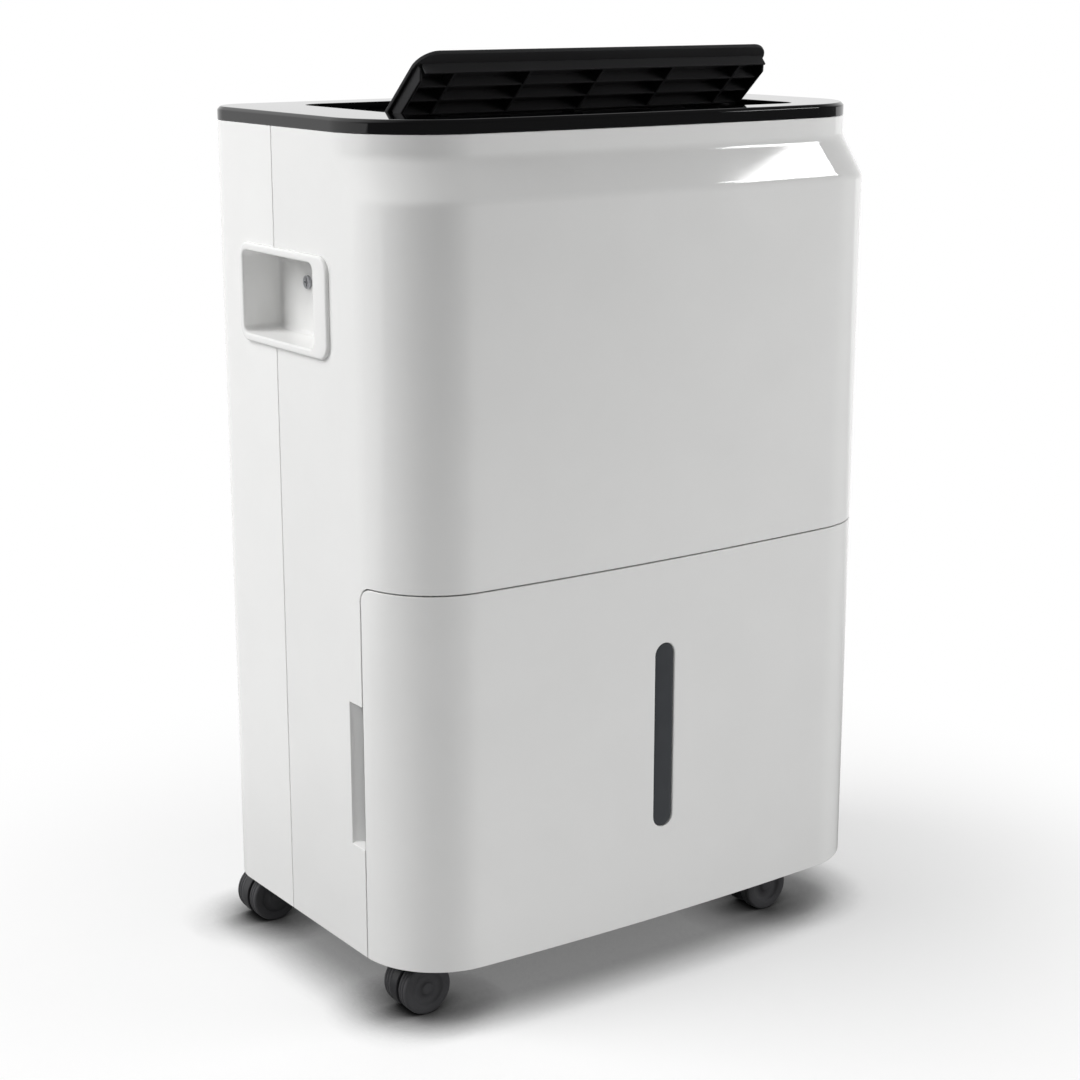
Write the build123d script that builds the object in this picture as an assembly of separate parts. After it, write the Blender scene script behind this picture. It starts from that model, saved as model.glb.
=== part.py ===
"""Household dehumidifier on castors, drawn as separate sub-parts in one frame.

Millimetres, +Z up, the floor at Z = 0, the tank front facing -Y and the Z axis through the middle.
The louver flap is drawn open and the water tank is drawn pushed in.
"""

import os
from math import atan2, cos, radians, sin, sqrt

from build123d import *

# Casing
body_width = 380.0
body_depth = 244.0
casing_height = 509.0
castor_height = 36.0
front_bow = 7.4
front_corner = 54.0
rear_corner = 31.0
shell_wall = 2.8
front_shell_depth = 151.0
seam_groove = 0.6
shoulder_height = 471.4
shoulder_rise = 24.5
shoulder_setback = 14.4
top_corner = 63.0

# Water tank
tank_height = 241.0
tank_wrap = 56.0
tank_wall = 2.5
tank_corner = 9.0
bucket_front_space = 22.0
bucket_depth = 100.0
bucket_side_space = 25.0
bucket_top_space = 15.0
float_arm = 6.0
float_pin_radius = 2.0
window_width = 15.5
window_height = 124.0
window_low = 63.0
finger_slot_low = 72.0
finger_slot_height = 93.0
finger_slot_width = 15.0
finger_slot_depth = 12.0

# Top panel and flap
panel_thickness = 8.5
panel_bevel = 2.0
tray_depth = 6.0
tray_width = 276.0
tray_start = 40.0
tray_length = 172.0
tray_corner = 16.0
flap_hinge_start = 109.5
flap_length = 58.0
flap_width = 270.0
flap_thickness = 2.8
flap_corner = 14.0
flap_opening = 41.9
flap_cheek_depth = 8.0
hinge_radius = 3.0
hinge_shaft_radius = 1.45
hinge_lug_width = 8.0
vane_count = 4
vane_depth = 7.0
vane_divider_pitch = 55.0

# Controls
button_count = 5
button_width = 16.0
button_length = 9.0
button_pitch = 30.0
button_proud = 1.5
button_travel = 1.2
display_width = 62.0
display_length = 24.0

# Hand grips
grip_start = 101.0
grip_width = 88.0
grip_low = 379.0
grip_height = 52.0
grip_depth = 25.0
grip_rim_proud = 2.5
grip_rim_front = 16.0
grip_rim_edge = 5.0
grip_corner = 5.0
grip_wall = 2.5

# Castors
castor_front_side_offset = 50.0
castor_rear_side_offset = 41.5
castor_front_offset = 44.0
castor_rear_offset = 19.0
castor_trail = 21.5
wheel_radius = 17.0
wheel_width = 9.0
castor_web = 7.0
stem_radius = 4.0
stem_length = 13.0
axle_radius = 2.05

# Frame inside the casing
pan_thickness = 4.0
bulkhead_thickness = 3.0
deck_thickness = 3.0

# Air side
filter_width = 254.0
filter_height = 205.0
filter_depth = 10.0
filter_slat_pitch = 12.0
coil_depth = 22.0
coil_tubes = 7
coil_fins = 20
tube_radius = 4.0
pipe_radius = 3.0
duct_wall = 2.0
scroll_radius = 98.0
impeller_radius = 82.0
impeller_blades = 24
motor_radius = 38.0
motor_depth = 24.0
fan_shaft_radius = 4.0
compressor_radius = 40.0
compressor_height = 160.0
drain_x = 100.0
drain_radius = 6.5
drain_length = 16.0
drain_cup_radius = 22.0
gland_radius = 8.0
screw_radius = 1.7
screw_recess = 3.0
screw_length = 8.0
screw_head_radius = 4.2
screw_head_height = 2.2
screw_head_gap = 0.6
screw_slot_length = 5.2
screw_slot_width = 1.0
screw_slot_depth = 1.0
screw_boss_radius = 7.0
screw_boss_depth = 11.0
screw_hole_depth = 12.0

# Clearances between pieces
tank_gap = 0.8
slide_gap = 0.4
running_gap = 0.06
press_gap = 0.3
side_gap = 0.4
pan_rise = 1.0

# Planes of the casing
half_width = body_width / 2
y_front = -body_depth / 2
y_back = body_depth / 2
y_seam = y_front + front_shell_depth
y_wrap = y_front + tank_wrap
z_low = castor_height
z_tank = z_low + tank_height
z_shoulder = z_low + shoulder_height
z_neck = z_shoulder + shoulder_rise
z_rim = z_low + casing_height
z_top = z_rim + panel_thickness
z_tray = z_top - tray_depth
bow_radius = (half_width**2 + front_bow**2) / (2 * front_bow)
far = body_width + body_depth + casing_height

# Base pan, bucket, bulkhead and deck levels
z_pan = z_low + pan_rise
z_pan_floor = z_pan + pan_thickness
z_boss = z_low + stem_length + 2.0
z_bucket = z_boss + slide_gap
z_bucket_top = z_tank - bucket_top_space
bucket_half = half_width - bucket_side_space
y_bucket = y_front + bucket_front_space
y_bucket_back = y_bucket + bucket_depth
y_bulkhead = y_bucket_back + 12.0
z_deck = z_tank + 3.0
z_deck_top = z_deck + deck_thickness

# Outlet, hinge and coil positions
outlet_half = flap_width / 2 - 0.5
y_hinge = y_front + flap_hinge_start
z_hinge = z_top - flap_thickness - 1.2
y_outlet_back = y_hinge + hinge_radius + 1.2
y_outlet_front = y_hinge - flap_length
y_tray = y_front + tray_start
z_fan = (z_deck_top + z_rim) / 2 - 12.0
y_scroll = y_outlet_front - duct_wall
y_scroll_back = y_outlet_back + duct_wall
filter_well = filter_depth + 4.0
coil_half = half_width - grip_depth - 40.0
y_evaporator = y_back - filter_well - 10.0 - coil_depth
y_condenser = y_evaporator - 6.0 - coil_depth
coil_height = casing_height - tank_height - 50.0
y_grip = y_front + grip_start
z_grip = z_low + grip_low
drain_cup_depth = drain_length + 4.0
z_drain = z_deck - drain_cup_radius - 8.0
y_compressor = (y_bulkhead + bulkhead_thickness + y_back - shell_wall) / 2
x_compressor = -half_width * 0.42
z_compressor = z_pan_floor + 14.0
z_compressor_top = z_compressor + 3.0 + compressor_height
x_pipe = -coil_half - 20.0
z_filter = z_deck_top + 12.0
screw_x = half_width - rear_corner - 10.0
screw_levels = [z_low + 28.0, z_deck_top + 10.0, z_rim - 16.0]
x_gland = half_width - rear_corner - 14.0
z_gland = z_low + 62.0
z_board = z_rim - 10.0
y_buttons = y_hinge + 46.5
y_display = y_buttons + 32.0
lug_places = [-flap_width * 0.37, 0.0, flap_width * 0.37]
button_places = [(i - (button_count - 1) / 2) * button_pitch for i in range(button_count)]
castor_places = {
    "front": (half_width - castor_front_side_offset, y_front + castor_front_offset),
    "rear": (half_width - castor_rear_side_offset, y_back - castor_rear_offset),
}
y_grip_screw = y_grip + grip_width * 0.6
z_grip_screw = z_grip + grip_height * 0.64
y_drain_riser = y_back - drain_cup_depth - 14.0
board_half = button_pitch * (button_count - 1) / 2 + 24.0
y_board = y_buttons - 14.0
y_board_back = y_display + display_length / 2 + 4.0
z_stem = z_rim - 4.6
x_float = -bucket_half * 0.6
y_float = y_bucket_back - tank_wall - 10.0
z_float = z_bucket_top - 16.0


def block(x0, x1, y0, y1, z0, z1):
    """Box between two corners."""
    return Pos((x0 + x1) / 2, (y0 + y1) / 2, (z0 + z1) / 2) * Box(x1 - x0, y1 - y0, z1 - z0)


def upright(x, y, z, radius, length):
    """Cylinder that rises from a point."""
    return Pos(x, y, z + length / 2) * Cylinder(radius, length)


def along_y(x, y, z, radius, length):
    """Cylinder that runs towards +Y from a point."""
    return Pos(x, y + length / 2, z) * Rot(90, 0, 0) * Cylinder(radius, length)


def along_x(x, y, z, radius, length):
    """Cylinder that runs towards +X from a point."""
    return Pos(x + length / 2, y, z) * Rot(0, 90, 0) * Cylinder(radius, length)


def sideways(face, x0, x1):
    """Face drawn in Y and Z, drawn out from x0 to x1."""
    plane = Plane(origin=(x0, 0, 0), x_dir=(0, 1, 0), z_dir=(1, 0, 0))
    return extrude(plane * face, amount=x1 - x0)


def across(face, y0, y1):
    """Face drawn in X and Z, drawn out from y0 to y1."""
    plane = Plane(origin=(0, y1, 0), x_dir=(1, 0, 0), z_dir=(0, -1, 0))
    return extrude(plane * face, amount=y1 - y0)


def both_sides(shape):
    """The shape and its mirror image in the middle plane."""
    return shape + mirror(shape, about=Plane.YZ)


def plan_face(inset, setback, corner):
    """Plan of the casing drawn in by inset: straight sides, bowed front, rounded corners."""
    half = half_width - inset
    bow = bow_radius - inset
    centre_y = y_front + setback + bow_radius
    radius = corner - inset
    rear = rear_corner - inset
    back = y_back - inset
    corner_x = half - radius
    corner_y = centre_y - sqrt((bow - radius) ** 2 - corner_x**2)
    turn = atan2(corner_y - centre_y, corner_x)
    meet = (bow * cos(turn), centre_y + bow * sin(turn))
    middle = (corner_x + radius * cos(turn / 2), corner_y + radius * sin(turn / 2))
    rear_middle = (half - rear + rear * cos(radians(45)), back - rear + rear * sin(radians(45)))
    edges = [
        Line((half, corner_y), (half, back - rear)),
        ThreePointArc((half, back - rear), rear_middle, (half - rear, back)),
        Line((half - rear, back), (rear - half, back)),
        ThreePointArc((rear - half, back), (-rear_middle[0], rear_middle[1]), (-half, back - rear)),
        Line((-half, back - rear), (-half, corner_y)),
        ThreePointArc((-half, corner_y), (-middle[0], middle[1]), (-meet[0], meet[1])),
        ThreePointArc((-meet[0], meet[1]), (0, centre_y - bow), meet),
        ThreePointArc(meet, middle, (half, corner_y)),
    ]
    return make_face(edges)


def plan_prism(inset, setback, corner, z0, z1):
    """Plan of the casing drawn up from z0 to z1."""
    return extrude(Pos(0, 0, z0) * plan_face(inset, setback, corner), amount=z1 - z0)


def casing_solid(inset, z0, z1):
    """Solid casing with the sloped shoulder under its top."""
    lower = plan_prism(inset, 0, front_corner, z0, z_shoulder)
    low_face = Pos(0, 0, z_shoulder) * plan_face(inset, 0, front_corner)
    high_face = Pos(0, 0, z_neck) * plan_face(inset, shoulder_setback, top_corner)
    slope = loft([low_face, high_face], ruled=True)
    neck = plan_prism(inset, shoulder_setback, top_corner, z_neck, z1)
    return lower + slope + neck


def tank_profile(grow):
    """Side view of the tank front, with its rounded upper rear corner, as a block across the body."""
    radius = tank_corner + grow
    back = y_wrap + grow
    top = z_tank + grow
    corner_cut = block(-far, far, back - radius, back, top - radius, top)
    corner_cut -= along_x(-far, back - radius, top - radius, radius, 2 * far)
    return block(-far, far, y_front - 10, back, z_low - 10, top) - corner_cut


def grip_prism(grow, corner, x0, x1):
    """Rounded block of the hand grip's pocket, grown by a margin."""
    face = RectangleRounded(grip_width + 2 * grow, grip_height + 2 * grow, corner)
    return sideways(Pos(y_grip + grip_width / 2, z_grip + grip_height / 2) * face, x0, x1)


def casing_shell():
    """Hollow casing before it is parted, with the hand grip holes."""
    shell = casing_solid(0, z_low, z_rim) - casing_solid(shell_wall, z_low - 1, z_rim + 1)
    hole = grip_prism(grip_wall, grip_corner + grip_wall, half_width - shell_wall - 1, half_width + 1)
    return shell - both_sides(hole)


def finger_slot():
    """Right-hand scoop behind the tank's edge: its liner and its hollow."""
    z0 = z_low + finger_slot_low
    z1 = z0 + finger_slot_height
    y0 = y_wrap + tank_gap
    y1 = y0 + finger_slot_width
    deep = half_width - finger_slot_depth
    inner = half_width - shell_wall
    liner = block(deep - shell_wall, inner, y0, y1 + shell_wall, z0 - shell_wall, z1 + shell_wall)
    out = half_width + 5
    points = [(deep, y0 - 5), (out, y0 - 5), (out, y1), (half_width - 2, y1), (deep, y0 + 5)]
    hollow = extrude(Pos(0, 0, z0) * Polygon(*points, align=None), amount=z1 - z0)
    return liner, hollow


def front_shell(shell):
    """Upper front, front corners and front part of the sides, with the scoops behind the tank's edges."""
    part = shell & block(-far, far, y_front - 1, y_seam, 0, z_rim + 1)
    part -= tank_profile(tank_gap)
    liner, hollow = finger_slot()
    return part + both_sides(liner) - both_sides(hollow)


def rear_shell(shell):
    """Back and rear part of the sides, with the filter's well, the drain cup and the screw bosses."""
    part = shell & block(-far, far, y_seam, y_back + 1, 0, z_rim + 1)
    half_lap = half_width - shell_wall / 2
    part -= both_sides(block(half_lap, half_width + 1, y_seam, y_seam + seam_groove, 0, far))
    inner = y_back - shell_wall
    half = filter_width / 2 + slide_gap
    z0 = z_filter - slide_gap
    z1 = z_filter + filter_height + slide_gap
    seat = y_back - filter_depth - 2 * slide_gap
    part += block(-half - 2.5, half + 2.5, y_back - filter_well, inner, z0 - 2.5, z1 + 2.5)
    part -= block(-half, half, seat, y_back + 1, z0, z1)
    part -= block(6 - half, half - 6, y_back - filter_well - 1, y_back + 1, z0 + 6, z1 - 6)
    cup_floor = y_back - drain_cup_depth
    part += along_y(drain_x, cup_floor - 2.5, z_drain, drain_cup_radius + 2.5, inner - cup_floor + 2.5)
    part -= along_y(drain_x, cup_floor, z_drain, drain_cup_radius, drain_cup_depth + 1)
    part -= along_y(drain_x, cup_floor - 4, z_drain, drain_radius - 0.5, 6)
    part -= along_y(x_gland, inner - 1, z_gland, gland_radius, shell_wall + 2)
    for z in screw_levels:
        boss_start = y_back - screw_boss_depth
        boss = along_y(screw_x, boss_start, z, screw_boss_radius, inner - boss_start)
        head_room = screw_head_radius + screw_head_gap
        well = along_y(screw_x, y_back - screw_recess, z, head_room, screw_recess + 1)
        hole = along_y(screw_x, y_back - screw_hole_depth, z, screw_radius, screw_hole_depth)
        part = part + both_sides(boss) - both_sides(well) - both_sides(hole)
    return part


def rear_screws():
    """Pan-head screws that hold the rear shell, sunk in its back."""
    shapes = []
    seat = y_back - screw_recess
    slot_floor = seat + screw_head_height - screw_slot_depth
    slot_top = seat + screw_head_height + 1
    long, wide = screw_slot_length / 2, screw_slot_width / 2
    for z in screw_levels:
        screw = along_y(screw_x, seat, z, screw_head_radius, screw_head_height)
        screw += along_y(screw_x, seat - screw_length, z, screw_radius, screw_length)
        screw -= block(screw_x - long, screw_x + long, slot_floor, slot_top, z - wide, z + wide)
        screw -= block(screw_x - wide, screw_x + wide, slot_floor, slot_top, z - long, z + long)
        shapes += [screw, mirror(screw, about=Plane.YZ)]
    return Compound(children=shapes)


def hand_grip():
    """Right-hand grip: raised rim round a deep pocket."""
    length = grip_width + grip_rim_front + grip_rim_edge
    middle = y_grip + (grip_width + grip_rim_edge - grip_rim_front) / 2
    face = RectangleRounded(length, grip_height + 2 * grip_rim_edge, grip_corner + grip_rim_edge)
    rim = sideways(Pos(middle, z_grip + grip_height / 2) * face, half_width, half_width + grip_rim_proud)
    rim = fillet(rim.faces().sort_by(Axis.X)[-1].edges(), grip_rim_proud * 0.6)
    floor = half_width - grip_depth
    part = rim + grip_prism(grip_wall, grip_corner + grip_wall, floor - grip_wall, half_width)
    part -= grip_prism(0, grip_corner, floor, half_width + grip_rim_proud + 1)
    hole = along_x(floor - grip_wall - 1, y_grip_screw, z_grip_screw, screw_radius, grip_wall + 2)
    return part - hole


def grip_screw():
    """Right-hand screw in the inner wall of the grip's pocket."""
    floor = half_width - grip_depth
    part = along_x(floor, y_grip_screw, z_grip_screw, 4.2, 1.6)
    part += along_x(floor - grip_wall - 5, y_grip_screw, z_grip_screw, screw_radius, grip_wall + 5)
    for half_y, half_z in ((2.6, 0.5), (0.5, 2.6)):
        part -= block(
            floor + 0.7, floor + 2,
            y_grip_screw - half_y, y_grip_screw + half_y,
            z_grip_screw - half_z, z_grip_screw + half_z,
        )
    return part


def base_pan():
    """Floor of the casing, with tank runners and sockets for the castor stems."""
    split = y_wrap + tank_gap
    rear = plan_prism(shell_wall, 0, front_corner, z_pan, z_pan_floor)
    rear &= block(-far, far, split, far, 0, far)
    front = plan_prism(tank_wall + tank_gap, 0, front_corner, z_pan, z_pan_floor)
    front &= block(-far, far, -far, split, 0, far)
    part = rear + front
    runner_x = bucket_half * 0.62
    part += both_sides(block(runner_x - 4, runner_x + 4, y_bucket, y_bucket_back, z_pan_floor, z_boss))
    for x, y in castor_places.values():
        boss_foot = z_pan_floor - 0.5
        part += both_sides(upright(x, y, boss_foot, stem_radius + 5, z_boss - boss_foot))
        socket = upright(x, y, z_pan - 1, stem_radius + running_gap, z_boss - z_pan - 0.5)
        part -= both_sides(socket)
    return part


def bulkhead():
    """Upright wall between the tank and the compressor."""
    half = half_width - shell_wall
    return block(-half, half, y_bulkhead, y_bulkhead + bulkhead_thickness, z_pan_floor, z_deck)


def drip_deck():
    """Deck that catches the condensate and lets it fall into the bucket."""
    part = plan_prism(shell_wall, 0, front_corner, z_deck, z_deck_top)
    spout_y = y_bucket + bucket_depth * 0.6
    part += upright(0, spout_y, z_deck - 5, 9, 5.5)
    part -= upright(0, spout_y, z_deck - 6, 6, 12)
    part -= upright(drain_x, y_drain_riser, z_deck - 1, drain_radius - 2, 6)
    for y in (y_condenser, y_evaporator):
        part -= upright(x_pipe, y + coil_depth / 2, z_deck - 1, pipe_radius + 1.5, 6)
    return part


def coil(y0):
    """Finned coil: end plates, fins and level tubes."""
    y1 = y0 + coil_depth
    top = z_deck_top + coil_height
    part = both_sides(block(coil_half - 2, coil_half, y0, y1, z_deck_top, top))
    fin_pitch = 2 * (coil_half - 2) / (coil_fins + 1)
    for i in range(coil_fins):
        x = 2 - coil_half + (i + 1) * fin_pitch
        part += block(x - 0.4, x + 0.4, y0, y1, z_deck_top + 4, top - 4)
    for i in range(coil_tubes):
        z = z_deck_top + (i + 0.5) * coil_height / coil_tubes
        part += along_x(-coil_half - 8, (y0 + y1) / 2, z, tube_radius, 2 * coil_half + 16)
    return part


def pipe(y, level):
    """Pipe from the compressor's top, through the deck, to one tube end of a coil."""
    z_turn = z_compressor_top + 18
    z_end = z_deck_top + (level + 0.5) * coil_height / coil_tubes
    x_end = -coil_half - 8
    part = upright(x_compressor, y, z_compressor_top, pipe_radius, z_turn - z_compressor_top)
    part += Pos(x_compressor, y, z_turn) * Sphere(pipe_radius)
    part += along_x(x_pipe, y, z_turn, pipe_radius, x_compressor - x_pipe)
    part += Pos(x_pipe, y, z_turn) * Sphere(pipe_radius)
    part += upright(x_pipe, y, z_turn, pipe_radius, z_end - z_turn)
    part += Pos(x_pipe, y, z_end) * Sphere(pipe_radius)
    return part + along_x(x_pipe, y, z_end, pipe_radius, x_end - x_pipe)


def refrigerant_pipes():
    """Pipes to the condenser and from the evaporator."""
    middle = coil_depth / 2
    return Compound(children=[pipe(y_condenser + middle, 1), pipe(y_evaporator + middle, 2)])


def compressor():
    """Rotary compressor can on its foot plate, with the accumulator beside it."""
    can = upright(x_compressor, y_compressor, z_compressor + 3, compressor_radius, compressor_height)
    can = fillet(can.faces().sort_by(Axis.Z)[-1].edges(), 12)
    part = can + upright(x_compressor, y_compressor, z_compressor, compressor_radius + 4, 3)
    side = x_compressor + compressor_radius + 10
    return part + upright(side, y_compressor, z_compressor + 40, 12, compressor_height * 0.5)


def compressor_mounts():
    """Rubber feet under the compressor."""
    shapes = []
    for i in range(3):
        angle = radians(90 + 120 * i)
        x = x_compressor + (compressor_radius - 8) * cos(angle)
        y = y_compressor + (compressor_radius - 8) * sin(angle)
        shapes.append(upright(x, y, z_pan_floor, 8, z_compressor - z_pan_floor))
    return Compound(children=shapes)


def scroll_face(inset, top):
    """Front view of the fan casing: round below, widening upwards to the outlet."""
    radius = scroll_radius - inset
    half = outlet_half + duct_wall - inset
    shoulder = z_rim - 42
    right = [(radius, z_fan), (half, shoulder), (half, top)]
    left = [(-x, z) for x, z in reversed(right)]
    points = right + left
    return Pos(0, z_fan) * Circle(radius) + Polygon(*points, align=None)


def fan_scroll():
    """Fan casing with its inlet, the shaft hole, the outlet duct and two feet."""
    part = across(scroll_face(0, z_rim), y_scroll, y_scroll_back)
    foot = block(42, 58, y_scroll, y_scroll_back, z_deck_top, z_fan - scroll_radius * 0.7)
    part += both_sides(foot)
    part -= across(scroll_face(duct_wall, z_rim + 1), y_scroll + duct_wall, y_scroll_back - duct_wall)
    part -= along_y(0, y_scroll_back - duct_wall - 1, z_fan, impeller_radius - 12, duct_wall + 2)
    return part - along_y(0, y_scroll - 1, z_fan, 14, duct_wall + 2)


def fan_motor():
    """Motor can on the front of the fan casing, with the bore its shaft runs in."""
    part = along_y(0, y_scroll - motor_depth, z_fan, motor_radius, motor_depth)
    part = fillet(part.faces().sort_by(Axis.Y)[0].edges(), 5)
    return part - along_y(0, y_scroll - motor_depth + 5, z_fan, fan_shaft_radius + running_gap, motor_depth)


def fan_impeller():
    """Blower wheel: back plate, blades, front ring, hub and shaft."""
    y0 = y_scroll + duct_wall + 4
    y1 = y_scroll_back - duct_wall - 4
    inner = impeller_radius - 20
    part = along_y(0, y0, z_fan, impeller_radius, 2)
    part += along_y(0, y1 - 2, z_fan, impeller_radius, 2) - along_y(0, y1 - 3, z_fan, inner, 4)
    blade = block(inner + 1.5, impeller_radius - 1.5, y0 + 1, y1 - 1, -1, 1)
    for i in range(impeller_blades):
        part += Pos(0, 0, z_fan) * Rot(0, (i + 0.37) * 360 / impeller_blades, 0) * blade
    part += along_y(0, y0, z_fan, 11, 16)
    shaft_start = y_scroll - motor_depth + 6
    return part + along_y(0, shaft_start, z_fan, fan_shaft_radius, y0 - shaft_start + 1)


def outlet_grille():
    """Guard across the outlet duct, well below the flap."""
    z0 = z_rim - 26
    z1 = z0 + 5
    y0 = y_outlet_front
    y1 = y_outlet_back
    part = block(-outlet_half, outlet_half, y0, y1, z0, z1)
    part -= block(3 - outlet_half, outlet_half - 3, y0 + 3, y1 - 3, z0 - 1, z1 + 1)
    rows = 5
    for i in range(rows):
        y = y0 + (i + 1) * (y1 - y0) / (rows + 1)
        part += block(-outlet_half + 1, outlet_half - 1, y - 0.9, y + 0.9, z0, z1)
    columns = 11
    for i in range(columns):
        x = -outlet_half + (i + 1) * 2 * outlet_half / (columns + 1)
        part += block(x - 0.9, x + 0.9, y0 + 1, y1 - 1, z0, z1)
    return part


def top_panel():
    """Top of the casing with its tray, the air outlet, hinge lugs, button holes and board posts."""
    part = plan_prism(0, shoulder_setback, top_corner, z_rim, z_top)
    part = chamfer(part.faces().sort_by(Axis.Z)[-1].edges(), panel_bevel)
    tray = Pos(0, y_tray + tray_length / 2, z_tray) * RectangleRounded(tray_width, tray_length, tray_corner)
    part -= extrude(tray, amount=tray_depth + 1)
    part -= block(-outlet_half, outlet_half, y_outlet_front, y_outlet_back, z_rim - 1, z_top + 1)
    for x in lug_places:
        x0 = x - hinge_lug_width / 2
        lug = block(x0, x0 + hinge_lug_width, y_hinge, y_outlet_back + 3, z_rim, z_hinge)
        lug += along_x(x0, y_hinge, z_hinge, hinge_radius, hinge_lug_width)
        part += lug
    part -= along_x(-far, y_hinge, z_hinge, hinge_shaft_radius + running_gap, 2 * far) & block(
        -outlet_half, outlet_half, -far, far, 0, far
    )
    for x in button_places:
        face = RectangleRounded(button_width + 2 * side_gap, button_length + 2 * side_gap, 3 + side_gap)
        part -= extrude(Pos(x, y_buttons, z_rim - 1) * face, amount=tray_depth + 3)
    face = RectangleRounded(display_width, display_length, 3)
    part -= extrude(Pos(0, y_display, z_rim - 1) * face, amount=tray_depth + 3)
    for x in (-board_half + 5, board_half - 5):
        for y in (y_board + 5, y_board_back - 5):
            part += upright(x, y, z_board, 3, z_rim - z_board + 0.5)
    return part


def control_board():
    """Board under the top panel with a switch below each button."""
    part = block(-board_half, board_half, y_board, y_board_back, z_board - 1.6, z_board)
    z_switch = z_stem - button_travel - 0.2
    for x in button_places:
        part += block(x - 3, x + 3, y_buttons - 3, y_buttons + 3, z_board - 0.5, z_switch)
    return part


def push_button(x):
    """Cap, retaining flange and stem of one button."""
    z_flange = z_rim - press_gap
    cap = Pos(x, y_buttons, z_flange - 1) * RectangleRounded(button_width, button_length, 3)
    part = extrude(cap, amount=z_tray + button_proud - z_flange + 1)
    part = fillet(part.faces().sort_by(Axis.Z)[-1].edges(), 0.6)
    flange = Pos(x, y_buttons, z_flange - 1) * RectangleRounded(button_width + 3, button_length + 3, 3)
    part += extrude(flange, amount=1)
    return part + block(x - 2, x + 2, y_buttons - 2, y_buttons + 2, z_stem, z_flange - 0.5)


def display_window():
    """Dark window over the display, level with the tray."""
    face = Pos(0, y_display, z_rim) * RectangleRounded(display_width, display_length, 3)
    return extrude(face, amount=z_tray - z_rim)


def opened(shape):
    """Flap piece drawn closed at the hinge axis, swung open and put in place."""
    return Pos(0, y_hinge, z_hinge) * Rot(-flap_opening, 0, 0) * shape


def louver_flap():
    """Flap leaf with its hinge knuckle and end cheeks."""
    under = hinge_radius - flap_thickness
    length = flap_length + 2 * flap_corner
    leaf = Pos(0, flap_corner - flap_length / 2, under) * RectangleRounded(flap_width, length, flap_corner)
    part = extrude(leaf, amount=flap_thickness) & block(-far, far, -far, 0, -far, far)
    part += along_x(2 - flap_width / 2, 0, 0, hinge_radius, flap_width - 4)
    cheek_x = flap_width / 2 - 4
    cheek = block(cheek_x, cheek_x + 2, 10 - flap_length, -7, -flap_cheek_depth, under + 0.5)
    cheek = chamfer(cheek.edges().filter_by(Axis.X).sort_by(Axis.Z)[:2], flap_cheek_depth * 0.6)
    part += both_sides(cheek)
    half_notch = hinge_lug_width / 2 + side_gap
    for x in lug_places:
        part -= block(x - half_notch, x + half_notch, -hinge_radius - 2.5, 10, -10, 10)
    return opened(part - along_x(-far, 0, 0, hinge_shaft_radius, 2 * far))


def louver_vanes():
    """Slats and dividers on the inner face of the flap."""
    under = hinge_radius - flap_thickness
    half = flap_width / 2 - 4
    first = 11.0
    last = flap_length - 9.0
    shapes = None
    for i in range(vane_count):
        y = -first - i * (last - first) / (vane_count - 1)
        slat = block(-half, half, y - 0.7, y + 0.7, -vane_depth, under)
        shapes = slat if shapes is None else shapes + slat
    for i in (-2, -1, 0, 1, 2):
        x = i * vane_divider_pitch
        shapes += block(x - 1, x + 1, -last, -first, -vane_depth, under)
    return opened(shapes)


def flap_shaft():
    """Shaft pressed through the flap's knuckle, turning in the panel's lugs."""
    return along_x(2 - flap_width / 2, y_hinge, z_hinge, hinge_shaft_radius, flap_width - 4)


def window_prism(grow):
    """Upright slot of the level window, grown by a margin, through the tank front."""
    face = SlotOverall(window_height + 2 * grow, window_width + 2 * grow, rotation=90)
    return across(Pos(0, z_low + window_low + window_height / 2) * face, y_front - 5, y_front + 20)


def tank_front():
    """Tank skin that wraps round both front corners, with webs back to the bucket."""
    part = plan_prism(0, 0, front_corner, z_low, z_tank)
    part -= plan_prism(tank_wall, 0, front_corner, z_low - 1, z_tank + 1)
    part &= tank_profile(0)
    for z in (z_bucket + 8, z_bucket_top - 8):
        web = plan_prism(tank_wall, 0, front_corner, z, z + tank_wall)
        part += web & block(-far, far, -far, y_bucket, 0, far)
    return part - window_prism(0)


def level_window():
    """Dark window that fills the slot in the tank front, with a flange behind it."""
    lens = plan_prism(0.4, 0, front_corner, z_low, z_tank) & window_prism(0)
    flange = plan_prism(tank_wall, 0, front_corner, z_low, z_tank) & window_prism(4)
    part = lens + flange
    return part - plan_prism(tank_wall + 1.5, 0, front_corner, z_low - 1, z_tank + 1)


def tank_bucket():
    """Open bucket behind the tank front: a floor and four walls that meet edge to edge."""
    z_floor = z_bucket + tank_wall
    front = y_bucket + tank_wall
    rear = y_bucket_back - tank_wall
    floor = block(-bucket_half, bucket_half, y_bucket, y_bucket_back, z_bucket, z_floor)
    front_wall = block(-bucket_half, bucket_half, y_bucket, front, z_floor, z_bucket_top)
    rear_wall = block(-bucket_half, bucket_half, rear, y_bucket_back, z_floor, z_bucket_top)
    right_wall = block(bucket_half - tank_wall, bucket_half, front, rear, z_floor, z_bucket_top)
    left_wall = mirror(right_wall, about=Plane.YZ)
    return Compound(children=[floor, front_wall, rear_wall, right_wall, left_wall])


def float_bracket():
    """Bracket on the bucket's rear wall, with two lugs for the float's pivot."""
    wall = y_bucket_back - tank_wall
    z0 = z_float - 7
    z1 = z_float + 7
    half = float_arm / 2 + side_gap + 4
    part = block(x_float - half, x_float + half, y_float - 6, wall, z0, z1)
    part -= block(x_float - half + 4, x_float + half - 4, y_float - 7, wall - 2, z0 - 1, z1 + 1)
    return part - along_x(x_float - 12, y_float, z_float, float_pin_radius + running_gap, 24)


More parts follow.
